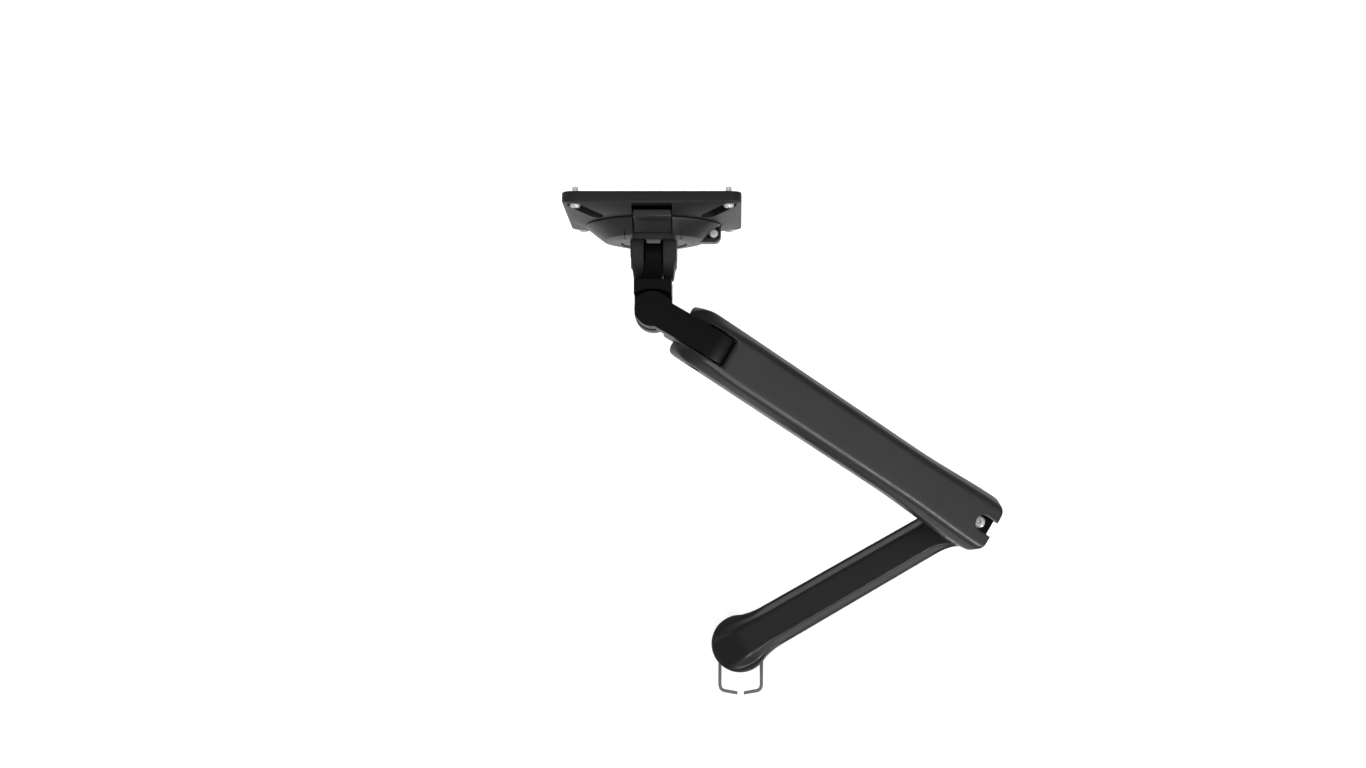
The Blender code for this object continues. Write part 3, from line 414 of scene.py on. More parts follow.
# ---------------------------------------------------------------- finishes
class Nodes:
    """Short-hand for building a node tree."""

    def __init__(self, name):
        self.mat = bpy.data.materials.new(name)
        self.mat.use_nodes = True
        self.tree = self.mat.node_tree
        self.shader = self.tree.nodes["Principled BSDF"]
        self.coords = self.add("ShaderNodeTexCoord").outputs["Object"]

    def add(self, kind, **props):
        n = self.tree.nodes.new(kind)
        for k, v in props.items():
            setattr(n, k, v)
        return n

    def link(self, a, b):
        self.tree.links.new(a, b)

    def noise(self, per_mm, detail=3.0, rough=0.5, stretch=None, distortion=0.0):
        source = self.coords
        if stretch:
            m = self.add("ShaderNodeMapping")
            m.inputs["Scale"].default_value = stretch
            self.link(source, m.inputs["Vector"])
            source = m.outputs["Vector"]
        n = self.add("ShaderNodeTexNoise")
        n.inputs["Scale"].default_value = per_mm * 1000
        n.inputs["Detail"].default_value = detail
        n.inputs["Roughness"].default_value = rough
        n.inputs["Distortion"].default_value = distortion
        self.link(source, n.inputs["Vector"])
        return n.outputs["Fac"]

    def cells(self, per_mm, feature="F1", smoothness=0.3):
        n = self.add("ShaderNodeTexVoronoi", feature=feature)
        n.inputs["Scale"].default_value = per_mm * 1000
        if "Smoothness" in n.inputs and feature == "SMOOTH_F1":
            n.inputs["Smoothness"].default_value = smoothness
        self.link(self.coords, n.inputs["Vector"])
        return n.outputs["Distance"]

    def remap(self, value, a, b, c, d):
        n = self.add("ShaderNodeMapRange")
        for i, v in enumerate((a, b, c, d)):
            n.inputs[i + 1].default_value = v
        self.link(value, n.inputs[0])
        return n.outputs[0]

    def ramp(self, value, *stops):
        n = self.add("ShaderNodeValToRGB")
        ramp = n.color_ramp
        while len(ramp.elements) < len(stops):
            ramp.elements.new(0.5)
        for e, (pos, colour) in zip(ramp.elements, stops):
            e.position = pos
            e.color = (*colour, 1.0)
        self.link(value, n.inputs["Fac"])
        return n.outputs["Color"]

    def bump(self, height, distance_mm, strength=1.0, under=None):
        n = self.add("ShaderNodeBump")
        n.inputs["Strength"].default_value = strength
        n.inputs["Distance"].default_value = distance_mm * MM
        self.link(height, n.inputs["Height"])
        if under is not None:
            self.link(under, n.inputs["Normal"])
        return n.outputs["Normal"]

    def edges(self, low, high):
        """1 on convex edges, 0 on flats."""
        g = self.add("ShaderNodeNewGeometry")
        return self.remap(g.outputs["Pointiness"], low, high, 0.0, 1.0)

    def mul(self, a, b):
        n = self.add("ShaderNodeMath", operation="MULTIPLY")
        self.link(a, n.inputs[0])
        self.link(b, n.inputs[1])
        return n.outputs[0]

    def plus(self, a, b):
        n = self.add("ShaderNodeMath", operation="ADD", use_clamp=True)
        self.link(a, n.inputs[0])
        self.link(b, n.inputs[1])
        return n.outputs[0]

    def set(self, **values):
        for k, v in values.items():
            self.shader.inputs[k.replace("_", " ")].default_value = v
        return self


def tint(c, f):
    return tuple(min(1.0, v * f) for v in c)


def paint(name, colour, rough=0.40, spread=0.05, peel=0.010, grain=0.004, level=0.5, wear=0.35, coat=0.0):
    """Satin powder coat: broad mottling, orange peel, a fine grain, slightly
    polished convex edges and a few dust specks."""
    n = Nodes(name)
    cloud = n.noise(0.018, 4.0, 0.6)
    fine = n.noise(0.9, 2.0, 0.5)
    edge = n.edges(0.52, 0.60)
    specks = n.remap(n.noise(0.55, 1.0, 0.4), 0.735, 0.76, 0.0, wear)
    shade = n.plus(n.remap(cloud, 0.3, 0.7, 0.30, 0.58), n.plus(n.mul(edge, n.remap(fine, 0.35, 0.7, 0.1, wear)), specks))
    n.link(n.ramp(shade, (0.0, tint(colour, 0.80)), (0.5, colour), (1.0, tint(colour, 2.1))), n.shader.inputs["Base Color"])
    r = n.remap(n.noise(0.06, 5.0, 0.65), 0.3, 0.7, rough - spread, rough + spread)
    n.link(r, n.shader.inputs["Roughness"])
    peel_n = n.bump(n.noise(0.42, 2.0, 0.5), peel, 0.55)
    n.link(n.bump(fine, grain, 0.6, under=peel_n), n.shader.inputs["Normal"])
    n.shader.inputs["Specular IOR Level"].default_value = level
    if coat:
        n.shader.inputs["Coat Weight"].default_value = coat
        n.shader.inputs["Coat Roughness"].default_value = 0.22
    return n.mat


def plastic(name, colour, rough=0.52, depth=0.020, size=0.9, level=0.45):
    """Moulded plastic with a spark-eroded grain."""
    n = Nodes(name)
    grain = n.cells(size, "SMOOTH_F1", 0.5)
    cloud = n.noise(0.03, 3.0, 0.6)
    n.link(n.ramp(n.plus(n.remap(cloud, 0.3, 0.7, 0.3, 0.55), n.remap(n.noise(1.6, 1.0), 0.62, 0.75, 0.0, 0.3)),
                  (0.0, tint(colour, 0.82)), (0.5, colour), (1.0, tint(colour, 1.5))), n.shader.inputs["Base Color"])
    n.link(n.remap(n.noise(0.25, 4.0, 0.6), 0.3, 0.7, rough - 0.05, rough + 0.07), n.shader.inputs["Roughness"])
    n.link(n.bump(grain, depth, 0.5), n.shader.inputs["Normal"])
    n.shader.inputs["Specular IOR Level"].default_value = level
    return n.mat


def metal(name, colour, rough=0.25, lines=None, depth=0.004, tarnish=0.25, aniso=0.0, bare=1.0):
    """Turned or ground metal: fine tool lines, mottled brightness, small pits."""
    n = Nodes(name)
    n.shader.inputs["Metallic"].default_value = bare
    cloud = n.noise(0.09, 5.0, 0.65)
    tool = n.noise(0.7, 3.0, 0.6, stretch=lines or (1, 1, 8))
    n.link(n.ramp(n.plus(n.remap(cloud, 0.3, 0.7, 0.2, 0.6), n.remap(tool, 0.35, 0.65, 0.0, 0.25)),
                  (0.0, tint(colour, 1.0 - tarnish)), (0.6, colour), (1.0, tint(colour, 1.12))), n.shader.inputs["Base Color"])
    n.link(n.remap(tool, 0.3, 0.7, rough - 0.07, rough + 0.1), n.shader.inputs["Roughness"])
    n.link(n.bump(tool, depth, 0.5, under=n.bump(n.noise(0.5, 2.0), 0.006, 0.3)), n.shader.inputs["Normal"])
    if aniso:
        n.shader.inputs["Anisotropic"].default_value = aniso
    return n.mat


def rubber(name, colour):
    n = Nodes(name)
    ribs = n.noise(1.4, 4.0, 0.7)
    n.link(n.ramp(n.noise(0.12, 5.0, 0.7), (0.25, tint(colour, 0.75)), (0.55, colour), (0.9, tint(colour, 1.9))),
           n.shader.inputs["Base Color"])
    n.link(n.remap(ribs, 0.3, 0.7, 0.74, 0.92), n.shader.inputs["Roughness"])
    n.link(n.bump(ribs, 0.05, 0.6), n.shader.inputs["Normal"])
    n.shader.inputs["Specular IOR Level"].default_value = 0.3
    return n.mat


ARM_BLACK = paint("arm_black_paint", (0.0084, 0.0083, 0.0084), rough=0.37)
LOWER_BLACK = paint("lower_arm_paint", (0.0070, 0.0069, 0.0070), rough=0.36)
DEEP_BLACK = paint("deep_black_paint", (0.0021, 0.0021, 0.0022), rough=0.36, level=0.22, wear=0.2)
HEAD_GREY = paint("head_grey_paint", (0.0100, 0.0100, 0.0104), rough=0.33)
PLATE_BLACK = paint("plate_black_paint", (0.0072, 0.0072, 0.0076), rough=0.44, grain=0.012, peel=0.016)
BLACK_PLASTIC = plastic("black_plastic", (0.0110, 0.0110, 0.0115))
CLIP_GREY = plastic("clip_grey_plastic", (0.082, 0.082, 0.084), rough=0.48, size=1.3, depth=0.014)
LATCH_GREY = plastic("latch_grey_plastic", (0.0130, 0.0130, 0.0133), rough=0.42, size=1.1)
NYLON = plastic("nylon_natural", (0.46, 0.45, 0.41), rough=0.42, depth=0.008)
RUBBER = rubber("pad_rubber", (0.014, 0.014, 0.014))
ZINC = metal("zinc_plated_steel", (0.50, 0.50, 0.51), 0.30)
BRIGHT = metal("bright_screw_steel", (0.56, 0.56, 0.56), 0.26, lines=(6, 6, 1), tarnish=0.15, bare=0.5)
BLACK_OXIDE = metal("blackened_steel", (0.085, 0.085, 0.09), 0.36)

# ---------------------------------------------------------------- fastener details


def hex_nut(r, z0, z1, bore, axis="z", at=(0, 0, 0), chamfer=1.0):
    """Hexagon nut: chamfered corners and a countersunk bore."""
    big = r * 1.02
    crown = [(0, z0), (big - chamfer * 1.6, z0), (big, z0 + chamfer), (big, z1 - chamfer), (big - chamfer * 1.6, z1), (0, z1)]
    hole = [(0, z0 - 2), (bore + 2.6, z0 - 2), (bore, z0 + 0.6), (bore, z1 - 0.6), (bore + 2.6, z1 + 2), (0, z1 + 2)]
    flat = prism(hexagon(r), z0, z1) if axis == "z" else prism(hexagon(r), z0, z1, axis)
    for v in flat.verts:
        v.co += Vector(at)
    return flat, ("*", lathe(crown, 72, axis, at, soft=0.2)), ("-", lathe(hole, 48, axis, at, soft=0))


def thread(r, z0, z1, pitch=1.5, depth=0.75, n=40, steps=8, chamfer=0.8):
    """Solid rod with a helical thread that runs out at both ends."""
    bm = bmesh.new()
    rings = []
    count = int((z1 - z0) / pitch * steps)
    for i in range(count + 1):
        z = z0 + (z1 - z0) * i / count
        fade = min(1.0, (z - z0) / 1.5, (z1 - z) / 3.0)
        end = max(0.0, chamfer - (z - z0)) + max(0.0, chamfer - (z1 - z))
        ring = []
        for k in range(n):
            t = (z / pitch - k / n) % 1.0
            v = max(0.0, min(1.0, (1 - abs(2 * t - 1)) * 1.5 - 0.2))
            q = r - end - depth * (1 - v) * max(0.0, fade)
            a = 2 * math.pi * k / n
            ring.append(bm.verts.new((q * math.cos(a), q * math.sin(a), z)))
        rings.append(ring)
    for a, b in zip(rings, rings[1:]):
        for k in range(n):
            j = (k + 1) % n
            bm.faces.new((a[k], a[j], b[j], b[k]))
    bm.faces.new(rings[0])
    bm.faces.new(rings[-1])
    return bm


def ring_of(bm_list):
    return [("+", b) for b in bm_list]


# ---------------------------------------------------------------- base and desk clamp
put(shape("base_pad", lathe([(5.6, 0.0), (8.0, 0.0), (8.5, 0.5), (10.0, 0.5), (10.5, 0.0), (14.0, 0.0), (14.5, 0.5), (16.0, 0.5),
                             (16.5, 0.0), (20.4, 0.0), (20.4, 1.7), (5.6, 1.7)], 96, soft=0.25)), F_BASE, RUBBER, "base_pad")
put(shape("base_flange", lathe([(5.4, 2.0), (BASE_R, 2.0), (BASE_R, 7.4), (BASE_R - 1.6, 9.0), (14.0, 9.0),
                                (14.0, 24.0), (13.0, 25.0), (5.4, 25.0)], 128, soft=0.6),
          *[("-", lathe([(0, -3), (1.6, -3), (1.6, 3), (0, 3)], 32, "x", (BASE_R, 0, 4.8), soft=0))]),
    F_BASE, ARM_BLACK, "base_flange")
put(shape("mount_stud", thread(STUD_R, -66.0, 25.0)), F_BASE, ZINC, "mount_stud", angle=50)
put(shape("post_tube", lathe([(POST_BORE_R, 9.3), (POST_R, 9.3), (POST_R, 110.6), (POST_R - 0.35, 111.0), (POST_R - 0.35, 112.3),
                              (POST_R, 112.7), (POST_R, 125.3), (POST_R - 0.35, 125.7), (POST_R - 0.35, 127.0), (POST_R, 127.4),
                              (POST_R, 134.0), (POST_BORE_R, 134.0)], 128, soft=0.4)), F_BASE, ARM_BLACK, "post_tube")
put(shape("post_spindle", lathe([(0, 116.0), (13.2, 116.0), (14.2, 117.0), (14.2, 134.3), (POST_R, 134.3), (POST_R, 138.0),
                                 (11.7, 138.0), (11.7, 146.0), (10.9, 146.6), (10.9, 150.4), (11.7, 151.0), (11.7, 154.3),
                                 (10.7, 155.3), (0, 155.3)], 128, soft=0.3)), F_BASE, ZINC, "post_spindle")
put(shape("clamp_pad", lathe([(6.0, -1.6), (20.4, -1.6), (20.4, 0.0), (18.5, 0.0), (18.0, -0.5), (15.0, -0.5), (14.5, 0.0),
                              (11.5, 0.0), (11.0, -0.5), (9.0, -0.5), (8.5, 0.0), (6.0, 0.0)], 96, soft=0.25)),
    F_CLAMP, RUBBER, "clamp_pad")
put(shape("clamp_plate", lathe([(5.5, -4.2), (9.0, -5.0), (18.5, -5.0), (19.4, -4.6), (20.95, -4.6), (20.95, -1.9), (5.5, -1.9)], 128,
                               soft=0.5)), F_CLAMP, BLACK_OXIDE, "clamp_plate")
wing = [(-20, -17), (-17.5, -18.5), (17.5, -18.5), (20, -17), (20, -12), (17.5, -10.5), (7, -8.5), (-7, -8.5), (-17.5, -10.5), (-20, -12)]
put(shape("hand_nut", lathe([(0, -19.3), (8.0, -19.3), (9.0, -18.3), (9.0, -7.3), (12.0, -5.3), (0, -5.3)], 96, soft=0.5),
          ("+", prism(wing, -3.0, 3.0, "y", soft=1.3, corner=2.2, seg=5)),
          *[("-", lathe([(0, -9), (1.1, -9), (1.1, 9), (0, 9)], 20, "y", (s * (10.5 + 2.3 * k), s2 * 11.6, -14.4), soft=0))
            for s in (-1, 1) for k in range(4) for s2 in (-1, 1)],
          ("-", lathe([(0, -25), (7.4, -25), (5.4, -18.2), (5.4, 0), (0, 0)], 64, soft=0))),
    F_CLAMP, BLACK_PLASTIC, "hand_nut")

# cable clip: an open loop whose hooks end a finger's width apart
hook_out = [(16.65, -6.0), (16.65, -31.0), (15.6, -34.2), (13.0, -35.9), (2.3, -37.8)]
hook_in = [(2.3, -35.4), (12.2, -33.6), (13.7, -32.6), (14.25, -30.6), (14.25, -13.6), (12.6, -9.5)]


def hook(s, dx=0.45):
    pts = fillet(hook_out + hook_in, [0.4, 3.0, 2.4, 1.6, 0.5, 0.5, 1.6, 1.4, 1.4, 2.6, 0.4], 6, least=3.0)
    return prism([(dx + s * x, y) for x, y in pts], 113.0, 125.0, soft=0.45)


put(shape("cable_clip", lathe([(0, 113.0), (20.2, 113.0), (20.2, 125.0), (0, 125.0)], 128, soft=0.45),
          ("+", hook(-1)), ("+", hook(1)),
          ("-", lathe([(0, 100), (POST_R + GAP, 100), (POST_R + GAP, 130), (0, 130)], 128, soft=0)),
          ("-", box(-2.4, 2.4, 15, 24, 100, 130))), F_BASE, CLIP_GREY, "cable_clip")


# ---------------------------------------------------------------- lower arm
def arm_width(x):
    beam = BEAM_HALF_A + (BEAM_HALF_B - BEAM_HALF_A) * x / LOWER_ARM_LENGTH
    if x <= 0:
        return math.sqrt(max(0.0, HUB_R ** 2 - x * x))
    if x >= LOWER_ARM_LENGTH:
        return math.sqrt(max(0.0, ELBOW_HUB_R ** 2 - (x - LOWER_ARM_LENGTH) ** 2))
    if x < LOWER_ARM_LENGTH / 2:
        r, d = HUB_R, x
    else:
        r, d = ELBOW_HUB_R, LOWER_ARM_LENGTH - x
    knee = 11.0
    hub = math.sqrt(r * r - min(d, knee) ** 2)
    if d <= knee:
        return hub
    return beam + (hub - beam) * (1 - min(1.0, (d - knee) / 15.0)) ** 2


def rounded_half(half, radii, n):
    """Open half section with every inner corner rounded by the same number of points."""
    out = [half[0]]
    for i in range(1, len(half) - 1):
        q = Vector(half[i])
        u, v = Vector(half[i - 1]) - q, Vector(half[i + 1]) - q
        turn = math.pi - (u.angle(v) if u.length > 1e-9 and v.length > 1e-9 else math.pi)
        reach = min(radii[i] * math.tan(turn / 2) if turn > 1e-3 else 0.01, 0.46 * u.length, 0.46 * v.length)
        s = q + (u.normalized() * reach if u.length > 1e-9 else u)
        e = q + (v.normalized() * reach if v.length > 1e-9 else v)
        for k in range(n + 1):
            t = k / n
            w = s * (1 - t) ** 2 + q * 2 * t * (1 - t) + e * t * t
            out.append((w.x, w.y))
    out.append(half[-1])
    return out


def spread(half, spans):
    """Adds points along the long flats: spans maps the index of a segment to a count."""
    out = []
    for i, p in enumerate(half[:-1]):
        q = half[i + 1]
        k = spans.get(i, 1)
        for j in range(k):
            t = j / k
            out.append((p[0] + (q[0] - p[0]) * t, p[1] + (q[1] - p[1]) * t))
    out.append(half[-1])
    return out


def arm_section(x):
    w = max(arm_width(x), 0.4)
    t = x / LOWER_ARM_LENGTH
    crease = SPINE_HALF_A + (SPINE_HALF_B - SPINE_HALF_A) * t
    hub = 1 - smooth((x - 14) / 16)
    elbow = smooth((x - LOWER_ARM_LENGTH + 30) / 16)
    nose = smooth((7.0 - x) / 28.0)
    top = ARM_TOP - 10.3 * nose ** 1.25
    shoulder = ARM_TOP - 12.5 + 2.0 * hub + 11.5 * elbow
    foot = shoulder + 0.6 * hub
    crease = min(crease + (w - 2.2 - crease) * elbow, w * (0.62 + 0.3 * elbow))
    crease = max(crease, 0.4 * w)
    slope = crease + (w - 1.2 - crease) * (0.94 - 0.30 * hub)
    edge = min(1.2, 0.3 * w)
    slope = min(slope, w - edge - 0.05)
    crease = min(crease, slope - 0.1)
    foot = min(foot, top - 0.15)
    shoulder = min(shoulder, top - 0.25)
    half = [(0, top), (crease, top), (slope, foot), (w - edge, shoulder), (w, shoulder - edge),
            (w, HUB_BOTTOM + 1.0), (w - edge, HUB_BOTTOM), (0, HUB_BOTTOM)]
    half = rounded_half(half, [0, 3.2 + 3.0 * hub, 2.6 + 4.0 * hub, 1.6, 1.2, 1.0, 1.0, 0], 6)
    ring = half + [(-y, z) for y, z in half[-2:0:-1]]
    return [(x, y, z) for y, z in ring]


def arm_stations():
    xs = [-HUB_R * math.cos(math.radians(a)) for a in (5, 9, 13, 17, 21, 25, 29, 33, 37, 41, 45, 50, 55, 60, 65, 70, 75, 80, 85)]
    xs += [0] + [2 * k for k in range(1, 18)] + [36 + 6 * k for k in range(20)] + [152 + 1.5 * k for k in range(22)]
    xs += [LOWER_ARM_LENGTH + ELBOW_HUB_R * math.cos(math.radians(a)) for a in (88, 82, 76, 70, 65, 60, 55, 50, 45, 40, 35, 30, 25, 20, 15, 10, 6)]
    return xs


put(shape("lower_arm_casting", loft([arm_section(x) for x in arm_stations()]),
          ("-", lathe([(0, 120), (15.0, 120), (15.0, 156.8), (0, 156.8)], 96, soft=0)),
          ("-", lathe([(0, 148), (11.5, 148), (11.5, 190), (0, 190)], 96, at=(LOWER_ARM_LENGTH + 0.07, 0.05, 0), soft=0)),
          ("-", lathe([(0, 120), (16.4, 120), (16.4, 139.9), (16.0, 140.4), (16.0, 149.0), (0, 149.0)], 96,
                      at=(LOWER_ARM_LENGTH + 0.03, 0.02, 0), soft=0)),
          ("-", mouth(rounded_rect(32.0, 156.0, -10.5, 10.5, 5.0), 155.0, 140.0, down=True)),
          ("-", lathe([(0, -30), (2.8, -30), (2.8, 0), (0, 0)], 32, "x", (0, 0, 148.5), soft=0))),
    F_LOWER, LOWER_BLACK, "lower_arm_casting", angle=34)
put(shape("hub_bush", lathe([(12.0, 138.3), (POST_R, 138.3), (POST_R, 139.7), (14.7, 139.7), (14.7, 156.4), (12.0, 156.4)], 96,
                            soft=0.25),
          ("-", lathe([(0, -30), (3.0, -30), (3.0, 0), (0, 0)], 32, "x", (0, 0, 148.5), soft=0))), F_LOWER, NYLON, "hub_bush")
put(shape("hub_set_screw", lathe([(0, -19.6), (2.1, -19.6), (2.5, -19.2), (2.5, -12.6), (1.6, -11.5), (0, -11.5)], 48, "x",
                                 (0, 0, 148.5), soft=0.2),
          ("-", prism([(148.5 * 0 + y, 148.5 + z) for y, z in hexagon(1.3)], -22, -17.4, "x"))),
    F_LOWER, BLACK_OXIDE, "hub_set_screw")
put(shape("lower_cable_cover", prism(rounded_rect(46.0, 142.0, -10.1, 10.1, 4.6), 140.2, 142.4, soft=0.5),
          ("+", prism(rounded_rect(58.0, 130.0, -9.0, 9.0, 4.0), 142.0, 146.0, soft=0.4, ends=(False, True))),
          ("-", prism(rounded_rect(60.0, 128.0, -7.4, 7.4, 3.0), 142.4, 147.0)),
          ("-", prism(capsule(88, 0, 100, 0, 2.6), 138.0, 141.2))), F_LOWER, BLACK_PLASTIC, "lower_cable_cover")
put(shape("elbow_collar", lathe([(9.4, 170.3), (20.7, 170.3), (20.7, 172.3), (20.0, 173.0), (9.4, 173.0)], 128,
                                at=(LOWER_ARM_LENGTH, 0, 0), soft=0.45)), F_LOWER, HEAD_GREY, "elbow_collar")
put(shape("elbow_bush", lathe(tube(9.2, 11.1, 149.3, 170.0), 96, at=(LOWER_ARM_LENGTH, 0, 0), soft=0.2)), F_LOWER, NYLON, "elbow_bush")
put(shape("elbow_end_cap", lathe([(0, 140.9), (5.0, 140.9), (5.6, 140.4), (15.2, 140.4), (15.7, 140.9), (15.7, 142.2), (0, 142.2)], 96,
                                 at=(LOWER_ARM_LENGTH, 0, 0), soft=0.25),
          ("-", box(LOWER_ARM_LENGTH - 16.5, LOWER_ARM_LENGTH - 14.6, -2.2, 2.2, 139, 141.0))), F_LOWER, BLACK_PLASTIC, "elbow_end_cap")

# ---------------------------------------------------------------- elbow turret
EAR_OUT, EAR_IN = 12.6, 8.6
BRIDGE_TOP = REAR_PIVOT_Z + 1.8
ears = [(-14.6, 175.0), (14.6, 175.0), (13.0, 184.0)] + arc(0, REAR_PIVOT_Z, 8.2, 0, 150, 24) + [(-12.0, 205.0), (-16.5, 197.0)]
put(shape("elbow_turret", lathe([(0, TURRET_BASE), (18.9, TURRET_BASE), (19.4, TURRET_BASE + 0.5), (19.4, 175.8), (18.6, 176.6), (0, 176.6)],
                                128, soft=0.3),
          ("+", prism(ears, -EAR_OUT, EAR_OUT, "y", soft=0.8, corner=1.6)),
          ("-", box(-40, 40, -EAR_IN, EAR_IN, 177.4, 230.0)),
          ("+", box(-20.3, -5.4, -11.2, 11.2, REAR_PIVOT_Z - 1.3, BRIDGE_TOP, soft=0.5)),
          ("-", lathe([(0, 172), (3.4, 172), (3.4, 220), (0, 220)], 48, at=(-11, 0, 0), soft=0)),
          ("-", lathe([(0, -20), (3.3, -20), (3.3, 20), (0, 20)], 40, "y", (0, 0, REAR_PIVOT_Z), soft=0)),
          ("-", lathe([(0, -20), (3.3, -20), (3.3, 20), (0, 20)], 40, "y", (0, 0, REAR_PIVOT_Z - PARALLEL_OFFSET), soft=0))),
    F_ELBOW, DEEP_BLACK, "elbow_turret")
put(shape("elbow_shaft", lathe([(0, 143.0), (5.6, 143.0), (6.0, 143.4), (6.0, 150.6), (8.9, 150.6), (8.9, 172.9), (0, 172.9)], 72,
                               soft=0.3)), F_ELBOW, ZINC, "elbow_shaft")
nut, *cuts = hex_nut(10.0, 143.2, 148.6, 6.3)
put(shape("elbow_lock_nut", nut, *cuts), F_ELBOW, BLACK_OXIDE, "elbow_lock_nut")
put(shape("tension_screw", lathe([(0, -23.5), (2.4, -23.5), (3.0, -22.9), (3.0, 0.3), (4.7, 0.3), (4.7, 1.5), (4.3, 2.5), (3.5, 3.15),
                                  (2.6, 3.3), (0, 3.3)], 96, soft=0.25),
          ("-", prism(hexagon(1.95), 0.9, 6.0)),
          ("-", lathe([(0, 2.9), (1.7, 2.9), (2.4, 3.7), (0, 3.7)], 48, soft=0))), F_SCREW, BRIGHT, "tension_screw")
TRUNNION_Z = REAR_PIVOT_Z - 12.0
put(shape("trunnion_block", box(-15.2, -6.8, -4.6, 4.6, TRUNNION_Z - 4.2, TRUNNION_Z + 4.2, soft=0.6),
          ("+", lathe(bar(2.5, -7.6, 7.6), 48, "y", (-11.0, 0, TRUNNION_Z), soft=0.3)),
          ("-", lathe([(0, 150), (3.3, 150), (3.3, 230), (0, 230)], 48, at=(-11, 0, 0), soft=0))), F_ELBOW, BLACK_OXIDE, "trunnion_block")


# ---------------------------------------------------------------- upper arm
def cover_half(x):
    head, tail = (14.2, 19.0), (15.9, 21.4)
    t = smooth((70 - x) / 80)
    crease = head[0] + (tail[0] - head[0]) * t
    width = head[1] + (tail[1] - head[1]) * t
    back = COVER_TAIL + 7.0
    if x < back:
        d = 7.0 - math.sqrt(max(0.0, 49.0 - min(7.0, back - x) ** 2))
        width -= d
        crease -= d * 0.8
    nose = UPPER_ARM_LENGTH + COVER_NOSE_R - 12.0
    if x > nose:
        d = 12.0 - math.sqrt(max(0.0, 144.0 - min(12.0, x - nose) ** 2))
        width -= d * 0.72
        crease -= d * 0.72
    crease -= 2.6 * smooth((x - 228.0) / 50.0)
    return width, crease


def cover_section(x):
    w, c = cover_half(x)
    top, bottom, mid = COVER_TOP, COVER_BOTTOM, 0.2
    if x > UPPER_ARM_LENGTH:
        k = math.sqrt(max(0.0, 1 - ((x - UPPER_ARM_LENGTH) / COVER_NOSE_R) ** 2))
        top = mid + (COVER_TOP - mid) * k
        bottom = mid + (COVER_BOTTOM - mid) * k
    if x < COVER_TAIL + 3.0:
        top -= 3.0 - math.sqrt(max(0.0, 9.0 - min(3.0, COVER_TAIL + 3.0 - x) ** 2))
    s = max(0.05, (top - mid) / (COVER_TOP - mid))
    half = [(0, top), (c + 0.9, top), (w, mid + 8.2 * s), (w, mid - 3.0 * s), (w - 1.0, bottom), (0, bottom)]
    half = rounded_half(half, [0, 5.2 * s + 0.2, 9.0 * s + 0.2, 20.0, 1.2 * s, 0], 9)
    half = spread(half, {0: 6, len(half) - 2: 5})
    ring = half + [(-y, z) for y, z in half[-2:0:-1]]
    return [(x, y, z) for y, z in ring]


def cover_stations():
    xs = [COVER_TAIL + 7.0 * (1 - math.cos(math.radians(a))) for a in (0, 9, 16, 23, 30, 37, 44, 52, 60, 70, 80, 90)]
    xs += [-6, -2, 2] + [6 + 6 * k for k in range(12)] + [84 + 14 * k for k in range(11)] + [230, 236, 242, 248, 254]
    xs += [UPPER_ARM_LENGTH + COVER_NOSE_R * math.sin(math.radians(a)) for a in
           (0, 6, 12, 18, 24, 30, 36, 42, 47, 52, 57, 62, 66, 70, 74, 78, 82)]
    return xs


tail_slot = [(-60, TAIL_SLOT_HALF)] + [(-60, -TAIL_SLOT_HALF)] + arc(TAIL_SLOT_END - TAIL_SLOT_HALF, 0, TAIL_SLOT_HALF, -90, 90, 40)
nose_slot = fillet([(NOSE_SLOT_START, -NOSE_SLOT_HALF), (320, -NOSE_SLOT_HALF), (320, NOSE_SLOT_HALF), (NOSE_SLOT_START, NOSE_SLOT_HALF)],
                   3.3, 10)


def pocket(r, side, depth, x=0.0):
    return lathe([(0, side * depth), (r, side * depth), (r, side * (depth + 0.4)), (r, side * 30), (0, side * 30)], 64, "y", (x, 0, 0), soft=0)


put(shape("upper_arm_cover", loft([cover_section(x) for x in cover_stations()]),
          ("-", prism(fillet([(16.0, -40), (16.0, 5), (11.5, 15.3), (-11.5, 15.3), (-16.0, 5), (-16.0, -40)], [0, 3, 3, 3, 3, 0], 5),
                      -60, 244.0, "x")),
          ("-", box(240.0, 300.0, -16.0, 16.0, -40.0, -9.5)),
          ("-", mouth(nose_slot, -40, COVER_TOP, flare=0.5)),
          ("-", box(240.0, NOSE_SLOT_START + 1.0, -NOSE_SLOT_HALF, NOSE_SLOT_HALF, -40.0, -4.0)),
          ("-", lathe([(0, 0.3 - NOSE_SLOT_HALF), (LINK_BARREL_R + 0.6, 0.3 - NOSE_SLOT_HALF),
                       (LINK_BARREL_R + 0.6, NOSE_SLOT_HALF - 0.3), (0, NOSE_SLOT_HALF - 0.3)], 128, "y", (UPPER_ARM_LENGTH, 0, 0), soft=0)),
          ("-", mouth(tail_slot, 8, COVER_TOP, flare=0.45)),
          ("-", lathe([(0, -30), (3.3, -30), (3.3, 30), (0, 30)], 48, "y", soft=0)),
          ("-", pocket(5.4, 1, 19.2)), ("-", pocket(5.4, -1, 19.2)),
          ("-", lathe([(0, -30), (3.3, -30), (3.3, 30), (0, 30)], 48, "y", (UPPER_ARM_LENGTH, 0, 0), soft=0)),
          ("-", pocket(5.4, 1, 16.4, UPPER_ARM_LENGTH)), ("-", pocket(5.4, -1, 16.4, UPPER_ARM_LENGTH))),
    F_UPPER, ARM_BLACK, "upper_arm_cover", angle=36)

